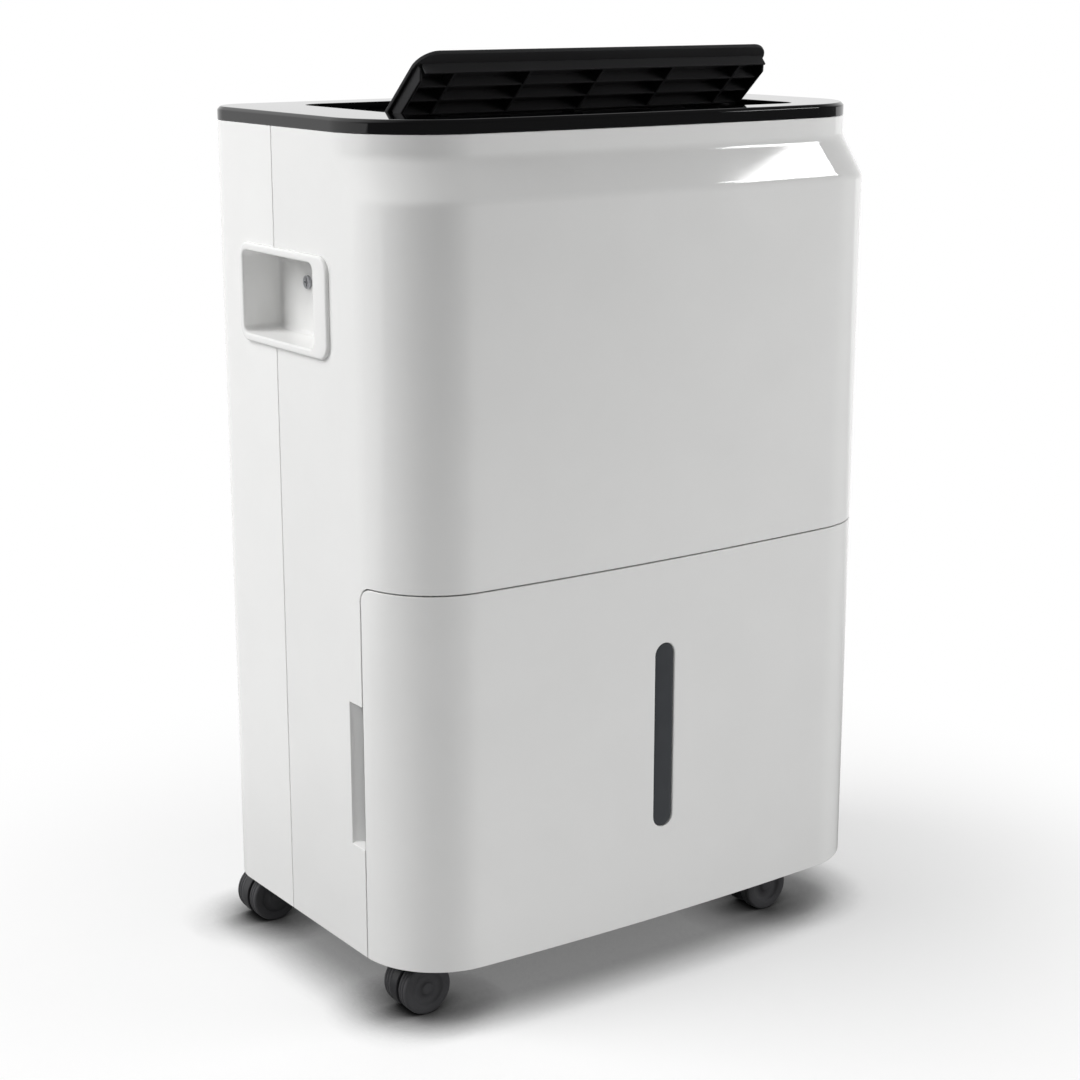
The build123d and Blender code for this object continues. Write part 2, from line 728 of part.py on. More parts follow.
def tank_float():
    """Float on its arm, with the pivot pin."""
    half = float_arm / 2
    part = block(x_float - half, x_float + half, y_float - 50, y_float + 3, z_float - 3, z_float + 3)
    part += block(x_float - 18, x_float + 18, y_float - 62, y_float - 30, z_float - 24, z_float - 2)
    return part + along_x(x_float - half - 4, y_float, z_float, float_pin_radius, float_arm + 8)


def tank_switch():
    """Switch on the bulkhead that senses the tank."""
    x = bucket_half * 0.5
    z = z_bucket_top - 24
    part = block(x - 10, x + 10, y_bulkhead - 6, y_bulkhead, z - 6, z + 6)
    return part + block(x - 1.5, x + 1.5, y_bulkhead - 8.5, y_bulkhead - 5, z - 1.5, z + 1.5)


def filter_frame():
    """Rear grille that carries the filter."""
    half = filter_width / 2
    y1 = y_back - slide_gap
    y0 = y1 - filter_depth + slide_gap
    z1 = z_filter + filter_height
    part = block(-half, half, y0, y1, z_filter, z1)
    part -= block(9 - half, half - 9, y0 - 1, y1 + 1, z_filter + 9, z1 - 9)
    count = int((filter_height - 18) / filter_slat_pitch)
    step = (filter_height - 18) / count
    for i in range(1, count):
        z = z_filter + 9 + i * step
        part += block(8 - half, half - 8, y0 + 2, y1 - 1, z - 1.6, z + 1.6)
    for i in (-1, 0, 1):
        x = i * half / 2
        part += block(x - 2, x + 2, y0 + 2, y1 - 2.5, z_filter + 8, z1 - 8)
    return part


def filter_mesh():
    """Filter sheet held on the inner side of the grille's slats."""
    half = filter_width / 2 - 9
    y1 = y_back - filter_depth + 2
    return block(-half, half, y1 - 1.2, y1, z_filter + 9, z_filter + filter_height - 9)


def drain_spout():
    """Elbow from the deck to the spout in the drain cup."""
    cup_back = y_back - drain_cup_depth - 2.5
    mouth = y_back - drain_cup_depth + drain_length
    neck = drain_radius - 0.5
    part = along_y(drain_x, mouth - drain_length, z_drain, drain_radius, drain_length)
    part += along_y(drain_x, y_drain_riser, z_drain, neck, mouth - drain_length - y_drain_riser + 1)
    part += along_y(drain_x, cup_back - 2.5, z_drain, drain_radius + 4, 2.5)
    part += upright(drain_x, y_drain_riser, z_drain, neck, z_deck - z_drain)
    part += Pos(drain_x, y_drain_riser, z_drain) * Sphere(neck)
    part -= along_y(drain_x, y_drain_riser, z_drain, drain_radius - 2, mouth - y_drain_riser + 1)
    part -= Pos(drain_x, y_drain_riser, z_drain) * Sphere(drain_radius - 2)
    return part - upright(drain_x, y_drain_riser, z_drain, drain_radius - 2, z_deck - z_drain + 1)


def drain_plug():
    """Plug in the mouth of the drain spout."""
    mouth = y_back - drain_cup_depth + drain_length
    part = along_y(drain_x, mouth + press_gap, z_drain, drain_radius - 0.3, 3)
    return part + along_y(drain_x, mouth - 10, z_drain, drain_radius - 2 - running_gap, 11)


def cord_gland():
    """Bush in the rear shell where a power cord would enter."""
    inner = y_back - shell_wall
    part = along_y(x_gland, inner, z_gland, gland_radius, shell_wall)
    part += along_y(x_gland, inner - 4, z_gland, gland_radius + 3, 4)
    return part - along_y(x_gland, inner - 2, z_gland, gland_radius - 4.5, shell_wall + 3)


def castor_fork(x, y):
    """Swivel body of one castor: stem, collar and the web between its wheels."""
    axle_x = x - castor_trail
    half = castor_web / 2
    top = z_pan - 0.6
    clear = 2 * wheel_radius + 0.5
    web = along_y(axle_x, y - half, wheel_radius, wheel_radius + 0.8, castor_web)
    web &= block(-far, far, -far, far, wheel_radius * 0.4, top - 1)
    web += block(axle_x, x + 5, y - half, y + half, wheel_radius + 3, z_low - 0.6)
    web += upright(x, y, clear, stem_radius + 6, top - clear)
    web += upright(x, y, clear, stem_radius, z_boss - 2 - clear)
    return web - along_y(axle_x, y - half - 1, wheel_radius, axle_radius + running_gap, castor_web + 2)


def castor_wheels(x, y):
    """Pair of wheels on their axle."""
    axle_x = x - castor_trail
    start = castor_web / 2 + 0.5
    wheel = along_y(axle_x, start, wheel_radius, wheel_radius, wheel_width)
    wheel = fillet(wheel.edges().filter_by(GeomType.CIRCLE), 1.6)
    wheel -= along_y(axle_x, start + wheel_width - 1.2, wheel_radius, wheel_radius * 0.62, 2)
    wheel += along_y(axle_x, start + wheel_width - 1.3, wheel_radius, wheel_radius * 0.25, 1.0)
    half = start + wheel_width / 2
    axle = along_y(axle_x, -half, wheel_radius, axle_radius, 2 * half)
    return Pos(0, y, 0) * (wheel + mirror(wheel, about=Plane.XZ) + axle)


def build():
    """All the sub-parts by name."""
    shell = casing_shell()
    grip = hand_grip()
    screw = grip_screw()
    nodes = {
        "front_shell": front_shell(shell),
        "rear_shell": rear_shell(shell),
        "rear_screws": rear_screws(),
        "hand_grip_right": grip,
        "hand_grip_left": mirror(grip, about=Plane.YZ),
        "grip_screw_right": screw,
        "grip_screw_left": mirror(screw, about=Plane.YZ),
        "base_pan": base_pan(),
        "bulkhead": bulkhead(),
        "drip_deck": drip_deck(),
        "evaporator": coil(y_evaporator),
        "condenser": coil(y_condenser),
        "refrigerant_pipes": refrigerant_pipes(),
        "compressor": compressor(),
        "compressor_mounts": compressor_mounts(),
        "fan_scroll": fan_scroll(),
        "fan_motor": fan_motor(),
        "fan_impeller": fan_impeller(),
        "outlet_grille": outlet_grille(),
        "top_panel": top_panel(),
        "control_board": control_board(),
        "display_window": display_window(),
        "louver_flap": louver_flap(),
        "louver_vanes": louver_vanes(),
        "flap_shaft": flap_shaft(),
        "tank_front": tank_front(),
        "level_window": level_window(),
        "tank_bucket": tank_bucket(),
        "float_bracket": float_bracket(),
        "tank_float": tank_float(),
        "tank_switch": tank_switch(),
        "filter_frame": filter_frame(),
        "filter_mesh": filter_mesh(),
        "drain_spout": drain_spout(),
        "drain_plug": drain_plug(),
        "cord_gland": cord_gland(),
    }
    for i, x in enumerate(button_places):
        nodes[f"push_button_{i + 1}"] = push_button(x)
    for end, (x, y) in castor_places.items():
        for side, sign in (("left", -1), ("right", 1)):
            nodes[f"castor_fork_{end}_{side}"] = castor_fork(sign * x, y)
            nodes[f"castor_wheels_{end}_{side}"] = castor_wheels(sign * x, y)
    return nodes


if __name__ == "__main__":
    os.makedirs("parts", exist_ok=True)
    for name, shape in build().items():
        export_step(shape, f"parts/{name}.step")
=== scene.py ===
"""Dehumidifier on castors: finishes, detailed outer pieces, studio light and camera for its assembly.

Sizes are in millimetres in the row frame: +Z up, the floor at Z = 0, the tank front facing -Y.
"""

import logging
from dataclasses import dataclass, field
from enum import Enum
from typing import Any, Sequence

import bmesh
import bpy
import numpy as np
from bpy.types import Material, Mesh, Node, NodeSocket, NodeTree, Object, World
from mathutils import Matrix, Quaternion, Vector


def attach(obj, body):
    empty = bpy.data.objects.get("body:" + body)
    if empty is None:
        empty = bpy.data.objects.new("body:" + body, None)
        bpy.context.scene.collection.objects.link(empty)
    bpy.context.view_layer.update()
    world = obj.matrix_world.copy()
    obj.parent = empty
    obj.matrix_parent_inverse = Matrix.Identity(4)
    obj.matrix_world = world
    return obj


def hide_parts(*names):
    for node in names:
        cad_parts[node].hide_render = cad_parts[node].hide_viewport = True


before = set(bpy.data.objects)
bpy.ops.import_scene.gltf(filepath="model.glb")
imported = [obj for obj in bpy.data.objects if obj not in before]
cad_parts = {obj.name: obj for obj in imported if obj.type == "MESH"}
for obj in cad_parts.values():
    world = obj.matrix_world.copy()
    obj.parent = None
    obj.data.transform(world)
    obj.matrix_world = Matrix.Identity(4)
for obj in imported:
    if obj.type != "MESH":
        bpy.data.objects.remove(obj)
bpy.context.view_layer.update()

log = logging.getLogger("dehumidifier")
MM = 0.001
# Distances in millimetres within which points of a sewn grid, and of a solid's triangles, are one.
SEWN = 0.004
WELDED = 0.002
# Angles in degrees: below the first, faces are merged to one; above the second, an edge is rounded.
FLAT_ANGLE = 0.4
SHARP_ANGLE = 38.0
EDGE_STEPS = 2
AREA_WEIGHT = 80


def linear(code: str) -> tuple[float, float, float, float]:
    """Turns an sRGB hex colour to linear light.

    Args:
        code: Colour such as "#EDEDED".

    Returns:
        Linear red, green and blue, with full opacity.
    """
    srgb = np.array([int(code[i : i + 2], 16) for i in (1, 3, 5)]) / 255
    rgb = np.where(srgb <= 0.04045, srgb / 12.92, ((srgb + 0.055) / 1.055) ** 2.4)
    return (float(rgb[0]), float(rgb[1]), float(rgb[2]), 1.0)


def add_node(
    tree: NodeTree,
    kind: str,
    settings: dict[str, Any] | None = None,
    inputs: dict[str | int, Any] | None = None,
) -> Node:
    """Adds a shader node, sets its properties and fills or links its inputs.

    Args:
        tree: Node tree that takes the node.
        kind: Node type, without its common prefix.
        settings: Property values by name.
        inputs: Values by input name or number; an output socket is linked.

    Returns:
        The new node.
    """
    node = tree.nodes.new("ShaderNode" + kind)
    for name, value in (settings or {}).items():
        setattr(node, name, value)
    for name, value in (inputs or {}).items():
        if isinstance(value, NodeSocket):
            tree.links.new(value, node.inputs[name])
        else:
            node.inputs[name].default_value = value
    return node


def work_out(tree: NodeTree, operation: str, first: Any, second: Any) -> NodeSocket:
    """Adds a product or other operation on two values or outputs, and gives its output."""
    return add_node(tree, "Math", {"operation": operation}, {0: first, 1: second}).outputs[0]


def ramp(
    tree: NodeTree,
    value: NodeSocket,
    span: tuple[float, float],
    result: tuple[float, float],
    shape: str = "LINEAR",
) -> NodeSocket:
    """Adds a ramp that carries a span of values to another one, and gives its output."""
    limits = {"Value": value, 1: span[0], 2: span[1], 3: result[0], 4: result[1]}
    return add_node(tree, "MapRange", {"interpolation_type": shape}, limits).outputs[0]


def empty_tree(owner: Material | World) -> NodeTree:
    """The node tree of a material or a world, with its first nodes taken out."""
    owner.use_nodes = True
    owner.node_tree.nodes.clear()
    return owner.node_tree


def add_object(name: str, data: Any) -> Object:
    """Puts a mesh, lamp or camera in the scene as a new object."""
    thing = bpy.data.objects.new(name, data)
    bpy.context.scene.collection.objects.link(thing)
    return thing


class Relief(Enum):
    """Kinds of fine relief that a finish can carry."""

    MOULDED = "moulded grain"
    BRUSHED = "fine lines along one way"
    WOVEN = "crossed threads"
    CELLULAR = "small cells"


@dataclass(frozen=True)
class Finish:
    """Look of one real material: colour that wanders over patches, gloss, and a fine relief.

    Patch and grain are the sizes of the colour patches and of the relief, in millimetres. Slot, a further
    name for the material, is not used.
    """

    name: str
    slot: str
    colour: str
    shade: str
    gloss: tuple[float, float]
    patch: float
    grain: float
    depth: float
    relief: Relief = Relief.MOULDED
    metallic: float = 0.0
    ior: float = 1.5
    specular: float = 0.5
    transmission: float = 0.0

    def height(self, tree: NodeTree, where: NodeSocket) -> NodeSocket:
        """Adds the nodes of the relief.

        Args:
            tree: Node tree of the material.
            where: Place on the piece, in metres.

        Returns:
            Output that holds the height of the relief.
        """
        scale = 1 / (self.grain * MM)
        spot = {"Vector": where, "Scale": scale}
        if self.relief is Relief.CELLULAR:
            return add_node(tree, "TexVoronoi", inputs=spot).outputs["Distance"]
        if self.relief is Relief.WOVEN:
            # A wave's period is 0.314 of a unit at scale 1.
            spot["Scale"] *= 0.314
            waves = [add_node(tree, "TexWave", {"bands_direction": way}, spot) for way in ("X", "Z")]
            return work_out(tree, "MAXIMUM", waves[0].outputs["Fac"], waves[1].outputs["Fac"])
        if self.relief is Relief.BRUSHED:
            # The lines are 25 times as long as they are wide.
            along = {"Vector": where, "Scale": (1, 1, 0.04)}
            spot["Vector"] = add_node(tree, "Mapping", inputs=along).outputs[0]
        return add_node(tree, "TexNoise", inputs={**spot, "Detail": 2.0}).outputs["Fac"]

    def material(self) -> Material:
        """Makes the material, or finds it if it was made before.

        Returns:
            Material with colour patches, varying gloss and the relief as a bump.
        """
        if self.name in bpy.data.materials:
            return bpy.data.materials[self.name]
        material = bpy.data.materials.new(self.name)
        tree = empty_tree(material)
        where = add_node(tree, "TexCoord").outputs["Object"]
        spread = {"Vector": where, "Scale": 1 / (self.patch * MM), "Detail": 4.0}
        patch = add_node(tree, "TexNoise", inputs=spread).outputs["Fac"]
        tones = {0: patch, 6: linear(self.shade), 7: linear(self.colour)}
        colour = add_node(tree, "Mix", {"data_type": "RGBA"}, tones).outputs[2]
        bump = {"Height": self.height(tree, where), "Distance": self.depth * MM, "Strength": 1.0}
        surface = {
            "Base Color": colour,
            "Roughness": ramp(tree, patch, (0.3, 0.7), self.gloss),
            "Metallic": self.metallic,
            "IOR": self.ior,
            "Specular IOR Level": self.specular,
            "Transmission Weight": self.transmission,
            "Normal": add_node(tree, "Bump", inputs=bump).outputs[0],
        }
        shader = add_node(tree, "BsdfPrincipled", inputs=surface).outputs[0]
        add_node(tree, "OutputMaterial", inputs={"Surface": shader})
        return material


# Moulded ABS from a polished mould: an even white with a clear-edged highlight.
WHITE_ABS = Finish("white_moulded_ABS", "white_casing", "#F0F0EF", "#EBEBEA", (0.05, 0.08), 45, 1.6, 0.0008)
# The same plastic from a duller mould, a little whiter.
REAR_ABS = Finish("white_rear_ABS", "white_casing", "#F5F5F4", "#F0F0EF", (0.2, 0.26), 45, 1.6, 0.003)
# Piano-black acrylic-faced ABS: nearly black, mirrors the room at a low angle.
BLACK_GLOSS = Finish("black_polished_ABS", "black_gloss", "#0B0B0C", "#080809", (0.02, 0.04), 30, 3.0, 0.0004)
# Spark-eroded mould texture on black ABS: a dull sheen broken up by fine grain.
BLACK_SATIN = Finish("black_grained_ABS", "black_plastic", "#101011", "#0B0B0C", (0.4, 0.5), 20, 0.9, 0.015)
# Deep, dull grain on the flap: the pits shade one another, so it hardly shines.
FLAP_ABS = Finish(
    "black_dull_ABS", "black_plastic", "#363637", "#303031",
    (0.55, 0.65), 20, 0.9, 0.02, specular=0.2,
)
# Smoked polycarbonate: dark grey, glossy, a little deeper where it is thicker.
SMOKED_LENS = Finish(
    "smoked_polycarbonate", "level_lens", "#45474A", "#3D3F42",
    (0.1, 0.16), 14, 4.0, 0.002, ior=1.58,
)
# Smoked lens of the display, almost black.
DISPLAY_LENS = Finish(
    "display_acrylic", "display_lens", "#0B0B0D", "#08080A",
    (0.04, 0.08), 12, 4.0, 0.001, ior=1.49,
)
# Zinc-plated steel: bright grey with faint drawn lines.
ZINC_STEEL = Finish(
    "zinc_plated_steel", "steel", "#B9BABD", "#A3A4A8",
    (0.28, 0.4), 3, 0.5, 0.006, Relief.BRUSHED, 1.0,
)
# Grey polypropylene of the inner frame: waxy, low gloss.
GREY_PP = Finish("grey_polypropylene", "grey_plastic", "#8C8E91", "#828487", (0.42, 0.52), 25, 1.2, 0.012)
# Milky polypropylene of the bucket: pale and slightly see-through.
MILKY_PP = Finish(
    "milky_polypropylene", "bucket_plastic", "#DADDE0", "#CED2D6",
    (0.3, 0.4), 35, 1.5, 0.008, transmission=0.15,
)
# Closed-cell foam of the float: matt, with small cells.
FOAM = Finish(
    "closed_cell_foam", "float_foam", "#D9D6CB", "#C6C2B5",
    (0.8, 0.9), 8, 0.9, 0.12, Relief.CELLULAR,
)
# Fin stock: bare aluminium with rolling lines.
ALUMINIUM = Finish(
    "rolled_aluminium", "coil_aluminium", "#C9CBCE", "#B4B6BA",
    (0.3, 0.42), 12, 0.6, 0.008, Relief.BRUSHED, 1.0,
)
# Drawn copper tube, slightly dulled.
COPPER = Finish(
    "drawn_copper", "copper", "#B8734A", "#9C5B38",
    (0.25, 0.4), 9, 0.6, 0.006, Relief.BRUSHED, 1.0,
)
# Black stoving enamel of the compressor and motor: orange-peel gloss.
BLACK_ENAMEL = Finish(
    "black_stoving_enamel", "black_paint", "#1B1B1D", "#151517",
    (0.22, 0.32), 18, 2.2, 0.03,
)
# Rubber: matt and dense.
RUBBER = Finish("black_rubber", "rubber", "#1C1C1D", "#151516", (0.62, 0.75), 10, 0.8, 0.02)
# Green solder mask on glass-fibre board.
BOARD = Finish("solder_masked_board", "board", "#1F5A3C", "#1A4D33", (0.3, 0.42), 6, 0.7, 0.012, Relief.WOVEN)
# Nylon net of the filter: dark threads about 1.4 mm apart, drawn as coarse as they need to show.
NYLON_NET = Finish(
    "nylon_net", "filter_cloth", "#3A3B3D", "#2C2D2F",
    (0.55, 0.65), 16, 1.4, 0.45, Relief.WOVEN,
)
# Soft-touch caps of the buttons.
BUTTON_ABS = Finish("black_button_ABS", "button_plastic", "#232325", "#1D1D1F", (0.38, 0.46), 9, 0.7, 0.012)
# Glass-filled nylon of the castors: dark grey, slightly rough.
CASTOR_PA = Finish("castor_nylon", "castor_plastic", "#2B2B2D", "#222224", (0.4, 0.52), 12, 0.9, 0.03)
# Polyurethane tread of the castors: a little lighter and duller.
TREAD_PU = Finish(
    "castor_tread_polyurethane", "castor_tread", "#454547", "#3A3A3C",
    (0.5, 0.62), 10, 0.7, 0.03,
)
# Printed symbols: pale grey screen ink.
PALE_INK = Finish("pale_screen_ink", "button_plastic", "#C9CACC", "#BDBEC0", (0.5, 0.6), 3, 0.4, 0.004)


@dataclass
class Patch:
    """Grid of points in millimetres, rows by columns, that becomes a sheet of four-sided faces."""

    points: np.ndarray
    round_rows: bool = False
    round_columns: bool = False
    keep: np.ndarray | None = None

    def faces(self, start: int) -> np.ndarray:
        """Numbers the corners of the grid's faces.

        Args:
            start: Number of the grid's first point in the mesh.

        Returns:
            Four point numbers for each face.
        """
        rows, columns = self.points.shape[:2]
        index = np.arange(rows * columns).reshape(rows, columns) + start
        if self.round_columns:
            index = np.hstack([index, index[:, :1]])
        if self.round_rows:
            index = np.vstack([index, index[:1]])
        corners = [index[:-1, :-1], index[:-1, 1:], index[1:, 1:], index[1:, :-1]]
        faces = np.stack(corners, axis=-1)
        return faces[self.keep] if self.keep is not None else faces.reshape(-1, 4)


def mirrored(points: np.ndarray) -> np.ndarray:
    """The same points on the other side of the middle plane."""
    return points * np.array([-1.0, 1.0, 1.0])


def place(mesh: Mesh, name: str, finish: Finish, body: str, nodes: Sequence[str]) -> Object:
    """Puts a mesh in the scene as a finished piece.

    Args:
        mesh: Mesh in metres.
        name: Name of the piece.
        finish: Material it is made of.
        body: Body it moves with.
        nodes: Solids it stands for.

    Returns:
        The new object.
    """
    piece = add_object(name, mesh)
    mesh.materials.clear()
    mesh.materials.append(finish.material())
    mesh.polygons.foreach_set("use_smooth", np.ones(len(mesh.polygons), bool))
    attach(piece, body)
    if nodes:
        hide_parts(*nodes)
    log.info("piece %s: %d faces, %s", name, len(mesh.polygons), finish.name)
    return piece


def sew(name: str, patches: Sequence[Patch], finish: Finish, body: str, nodes: Sequence[str] = ()) -> Object:
    """Joins patches into one mesh: equal points are merged and faces that shrink to a line are left out.

    Args:
        name: Name of the piece.
        patches: Grids that meet along shared points.
        finish: Material it is made of.
        body: Body it moves with.
        nodes: Solids it stands for.

    Returns:
        The new object, with its faces pointing outwards.
    """
    sizes = [patch.points.shape[0] * patch.points.shape[1] for patch in patches]
    starts = np.concatenate([[0], np.cumsum(sizes)])
    points = np.concatenate([patch.points.reshape(-1, 3) for patch in patches])
    faces = np.concatenate([patch.faces(start) for patch, start in zip(patches, starts)])
    _, first, same = np.unique(np.round(points / SEWN), axis=0, return_index=True, return_inverse=True)
    faces = same.reshape(-1)[faces]
    merged = faces == np.roll(faces, -1, axis=1)
    whole = faces[~merged.any(axis=1)].tolist()
    for corner in range(4):
        alone = merged[:, corner] & (merged.sum(axis=1) == 1)
        whole += np.delete(faces[alone], corner, axis=1).tolist()
    mesh = bpy.data.meshes.new(name)
    mesh.from_pydata(points[first] * MM, [], whole)
    turn_outwards(mesh)
    return place(mesh, name, finish, body, nodes)


def turn_outwards(mesh: Mesh) -> None:
    """Makes all faces agree and point away from the middle of the mesh.

    Args:
        mesh: Mesh to turn.
    """
    work = bmesh.new()
    work.from_mesh(mesh)
    bmesh.ops.recalc_face_normals(work, faces=work.faces)
    work.to_mesh(mesh)
    count = len(mesh.polygons)
    centres, normals, areas = np.empty(count * 3), np.empty(count * 3), np.empty(count)
    mesh.polygons.foreach_get("center", centres)
    mesh.polygons.foreach_get("normal", normals)
    mesh.polygons.foreach_get("area", areas)
    centres = centres.reshape(-1, 3)
    middle = (centres.min(axis=0) + centres.max(axis=0)) / 2
    if np.sum(np.sum((centres - middle) * normals.reshape(-1, 3), axis=1) * areas) < 0:
        bmesh.ops.reverse_faces(work, faces=work.faces)
        work.to_mesh(mesh)
    work.free()


def thicken(piece: Object, wall: float) -> None:
    """Gives a skin its wall, inwards, in millimetres."""
    modifier = piece.modifiers.new("wall", "SOLIDIFY")
    modifier.thickness = wall * MM
    modifier.offset = -1.0


def soften(piece: Object, width: float) -> None:
    """Rounds the sharp edges of a piece and keeps its large faces flat.

    Args:
        piece: Piece to round.
        width: Width of the rounding in millimetres.
    """
    modifier = piece.modifiers.new("edges", "BEVEL")
    modifier.width = width * MM
    modifier.segments = EDGE_STEPS
    modifier.limit_method = "ANGLE"
    modifier.angle_limit = np.radians(SHARP_ANGLE)
    modifier.use_clamp_overlap = False
    # Normals weighed by area keep the large faces flat, so that they mirror without streaks.
    level = piece.modifiers.new("flats", "WEIGHTED_NORMAL")
    level.mode = "FACE_AREA"
    level.weight = AREA_WEIGHT
    level.keep_sharp = True


def dress(nodes: Sequence[str], finish: Finish) -> None:
    """Gives solids their material as they are.

    Args:
        nodes: Solids to dress.
        finish: Material they are made of.
    """
    for node in nodes:
        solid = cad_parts[node]
        solid.data.materials.clear()
        solid.data.materials.append(finish.material())
        log.info("piece %s: solid, %s", node, finish.name)


def rounded_copy(node: str, body: str, finish: Finish, width: float) -> None:
    """Replaces a solid by a copy whose triangles are merged to flat faces and whose edges are rounded.

    Args:
        node: Solid to copy.
        body: Body it moves with.
        finish: Material it is made of.
        width: Width of the rounded edges in millimetres.
    """
    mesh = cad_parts[node].data.copy()
    work = bmesh.new()
    work.from_mesh(mesh)
    bmesh.ops.remove_doubles(work, verts=work.verts, dist=WELDED * MM)
    angle = np.radians(FLAT_ANGLE)
    bmesh.ops.dissolve_limit(work, angle_limit=angle, verts=work.verts, edges=work.edges)
    work.to_mesh(mesh)
    work.free()
    piece = place(mesh, node + "_rounded", finish, body, [node])
    soften(piece, width)


def loop_of_rectangle(low: np.ndarray, high: np.ndarray, radius: np.ndarray, steps: int = 10) -> np.ndarray:
    """Rounded rectangles, one per row: four quarter circles joined by straight lines.

    Args:
        low: Lowest corner of each rectangle, as rows of two numbers.
        high: Highest corner of each rectangle.
        radius: Corner radius of each rectangle.
        steps: Points on each quarter circle.

    Returns:
        Points as an array of rectangles by points by two.
    """
    turn = np.linspace(0, np.pi / 2, steps)
    angles = np.concatenate([turn + k * np.pi / 2 for k in range(4)])
    right = np.repeat([True, False, False, True], steps)
    upper = np.repeat([True, True, False, False], steps)
    inner_low, inner_high = low + radius[:, None], high - radius[:, None]
    first = np.where(right, inner_high[:, :1], inner_low[:, :1]) + radius[:, None] * np.cos(angles)
    second = np.where(upper, inner_high[:, 1:], inner_low[:, 1:]) + radius[:, None] * np.sin(angles)
    return np.stack([first, second], axis=-1)


def lifted(flat: np.ndarray, height: np.ndarray) -> np.ndarray:
    """Outlines in plan, each at its own height."""
    z = np.broadcast_to(height[:, None, None], (*flat.shape[:2], 1))
    return np.concatenate([flat, z], axis=-1)


def both_halves(half: np.ndarray) -> np.ndarray:
    """Rows of a right half, with their mirror image before them."""
    return np.concatenate([mirrored(half[:, :0:-1]), half], axis=1)


def face_middles(points: np.ndarray) -> np.ndarray:
    """Middle of each face of a grid."""
    return (points[:-1, :-1] + points[1:, 1:]) / 2


@dataclass(frozen=True)
class TankEdge:
    """Edge along the tank's top: level, then down a quarter circle to its rear end."""

    top: float
    rear: float
    corner: float

    def marks(self) -> np.ndarray:
        """Y of evenly turned points on the quarter circle."""
        return self.rear - self.corner * (1 - np.sin(np.linspace(0, np.pi / 2, 9)))

    def height(self, y: np.ndarray) -> np.ndarray:
        """Height of the edge at each Y."""
        past = np.clip(y - (self.rear - self.corner), 0, self.corner)
        return self.top - self.corner + np.sqrt(self.corner**2 - past**2)


@dataclass(frozen=True)
class CasingPlan:
    """Plan of the casing: straight sides, a bowed front, rounded front corners and a sloped shoulder."""

    half_width: float = 190.0
    front: float = -122.0
    bow: float = 7.4
    corner: float = 54.0
    top_corner: float = 63.0
    setback: float = 14.4
    shoulder: float = 507.4
    neck: float = 531.9
    soft: float = 2.6

    @property
    def bow_radius(self) -> float:
        """Radius of the bowed front."""
        return (self.half_width**2 + self.bow**2) / (2 * self.bow)

    def lean(self, height: np.ndarray) -> np.ndarray:
        """How far the shoulder has drawn back: 0 below it, 1 above it, a straight ramp with rounded ends.

        Args:
            height: Heights in millimetres.

        Returns:
            Share of the setback at each height.
        """

        def bend(past: np.ndarray) -> np.ndarray:
            """A line that starts at 0, with a parabola instead of a kink."""
            soft = np.clip(past + self.soft, 0, 2 * self.soft) ** 2 / (4 * self.soft)
            return np.where(past > self.soft, past, soft)

        return (bend(height - self.shoulder) - bend(height - self.neck)) / (self.neck - self.shoulder)

    def corner_of(self, lean: np.ndarray, inset: float) -> tuple[np.ndarray, ...]:
        """Centre of the right front corner, its radius, the bow's centre and the angle where they meet."""
        radius = self.corner + (self.top_corner - self.corner) * lean - inset
        bow_y = self.front + self.setback * lean + self.bow_radius
        x = self.half_width - inset - radius
        y = bow_y - np.sqrt((self.bow_radius - inset - radius) ** 2 - x**2)
        return x, y, radius, bow_y, np.arctan2(y - bow_y, x)

    def right_half(self, stage: np.ndarray, height: np.ndarray, end: float, inset: float = 0.0) -> np.ndarray:
        """Right half of the outline: stage 0 to 1 is the bowed front, 1 to 2 the corner arc, 2 to 3 the side.

        Args:
            stage: Place along the outline for each column.
            height: Heights, as rows by columns.
            end: Y at which the side ends.
            inset: How far the outline is drawn in.

        Returns:
            Points as rows by columns by three.
        """
        x, y, radius, bow_y, meet = self.corner_of(self.lean(height), inset)
        bow = self.bow_radius - inset
        swing = -np.pi / 2 + np.clip(stage, 0, 1) * (meet + np.pi / 2)
        turn = meet * (2 - np.clip(stage, 1, 2))
        along = np.clip(stage - 2, 0, 1)
        on_front, on_corner = stage <= 1, stage <= 2
        side_x = np.full_like(height, self.half_width - inset)
        px = np.select([on_front, on_corner], [bow * np.cos(swing), x + radius * np.cos(turn)], side_x)
        py = np.select(
            [on_front, on_corner],
            [bow_y + bow * np.sin(swing), y + radius * np.sin(turn)],
            y + along * (end - y),
        )
        return np.stack([px, py, height], axis=-1)

    def stage_at_x(self, x: np.ndarray) -> np.ndarray:
        """Stage of points on the bowed front with the given X, below the shoulder."""
        meet = self.corner_of(np.zeros(1), 0.0)[4]
        return np.arcsin(np.asarray(x) / self.bow_radius) / (meet + np.pi / 2)

    def stage_at_y(self, y: np.ndarray, end: float) -> np.ndarray:
        """Stage of points on the corner or the side with the given Y, below the shoulder.

        Args:
            y: Y of each point.
            end: Y at which the side ends.

        Returns:
            Stage of each point.
        """
        _, corner_y, radius, _, meet = self.corner_of(np.zeros(1), 0.0)
        turn = np.arcsin(np.clip((np.asarray(y) - corner_y) / radius, -1, 0))
        side = 2 + (np.asarray(y) - corner_y) / (end - corner_y)
        return np.where(np.asarray(y) < corner_y, 2 - turn / meet, side)

    def front_y(self, x: np.ndarray) -> np.ndarray:
        """Y of the bowed front below the shoulder: an arc of the bow's radius."""
        return self.front + self.bow_radius - np.sqrt(self.bow_radius**2 - x**2)


PLAN = CasingPlan()


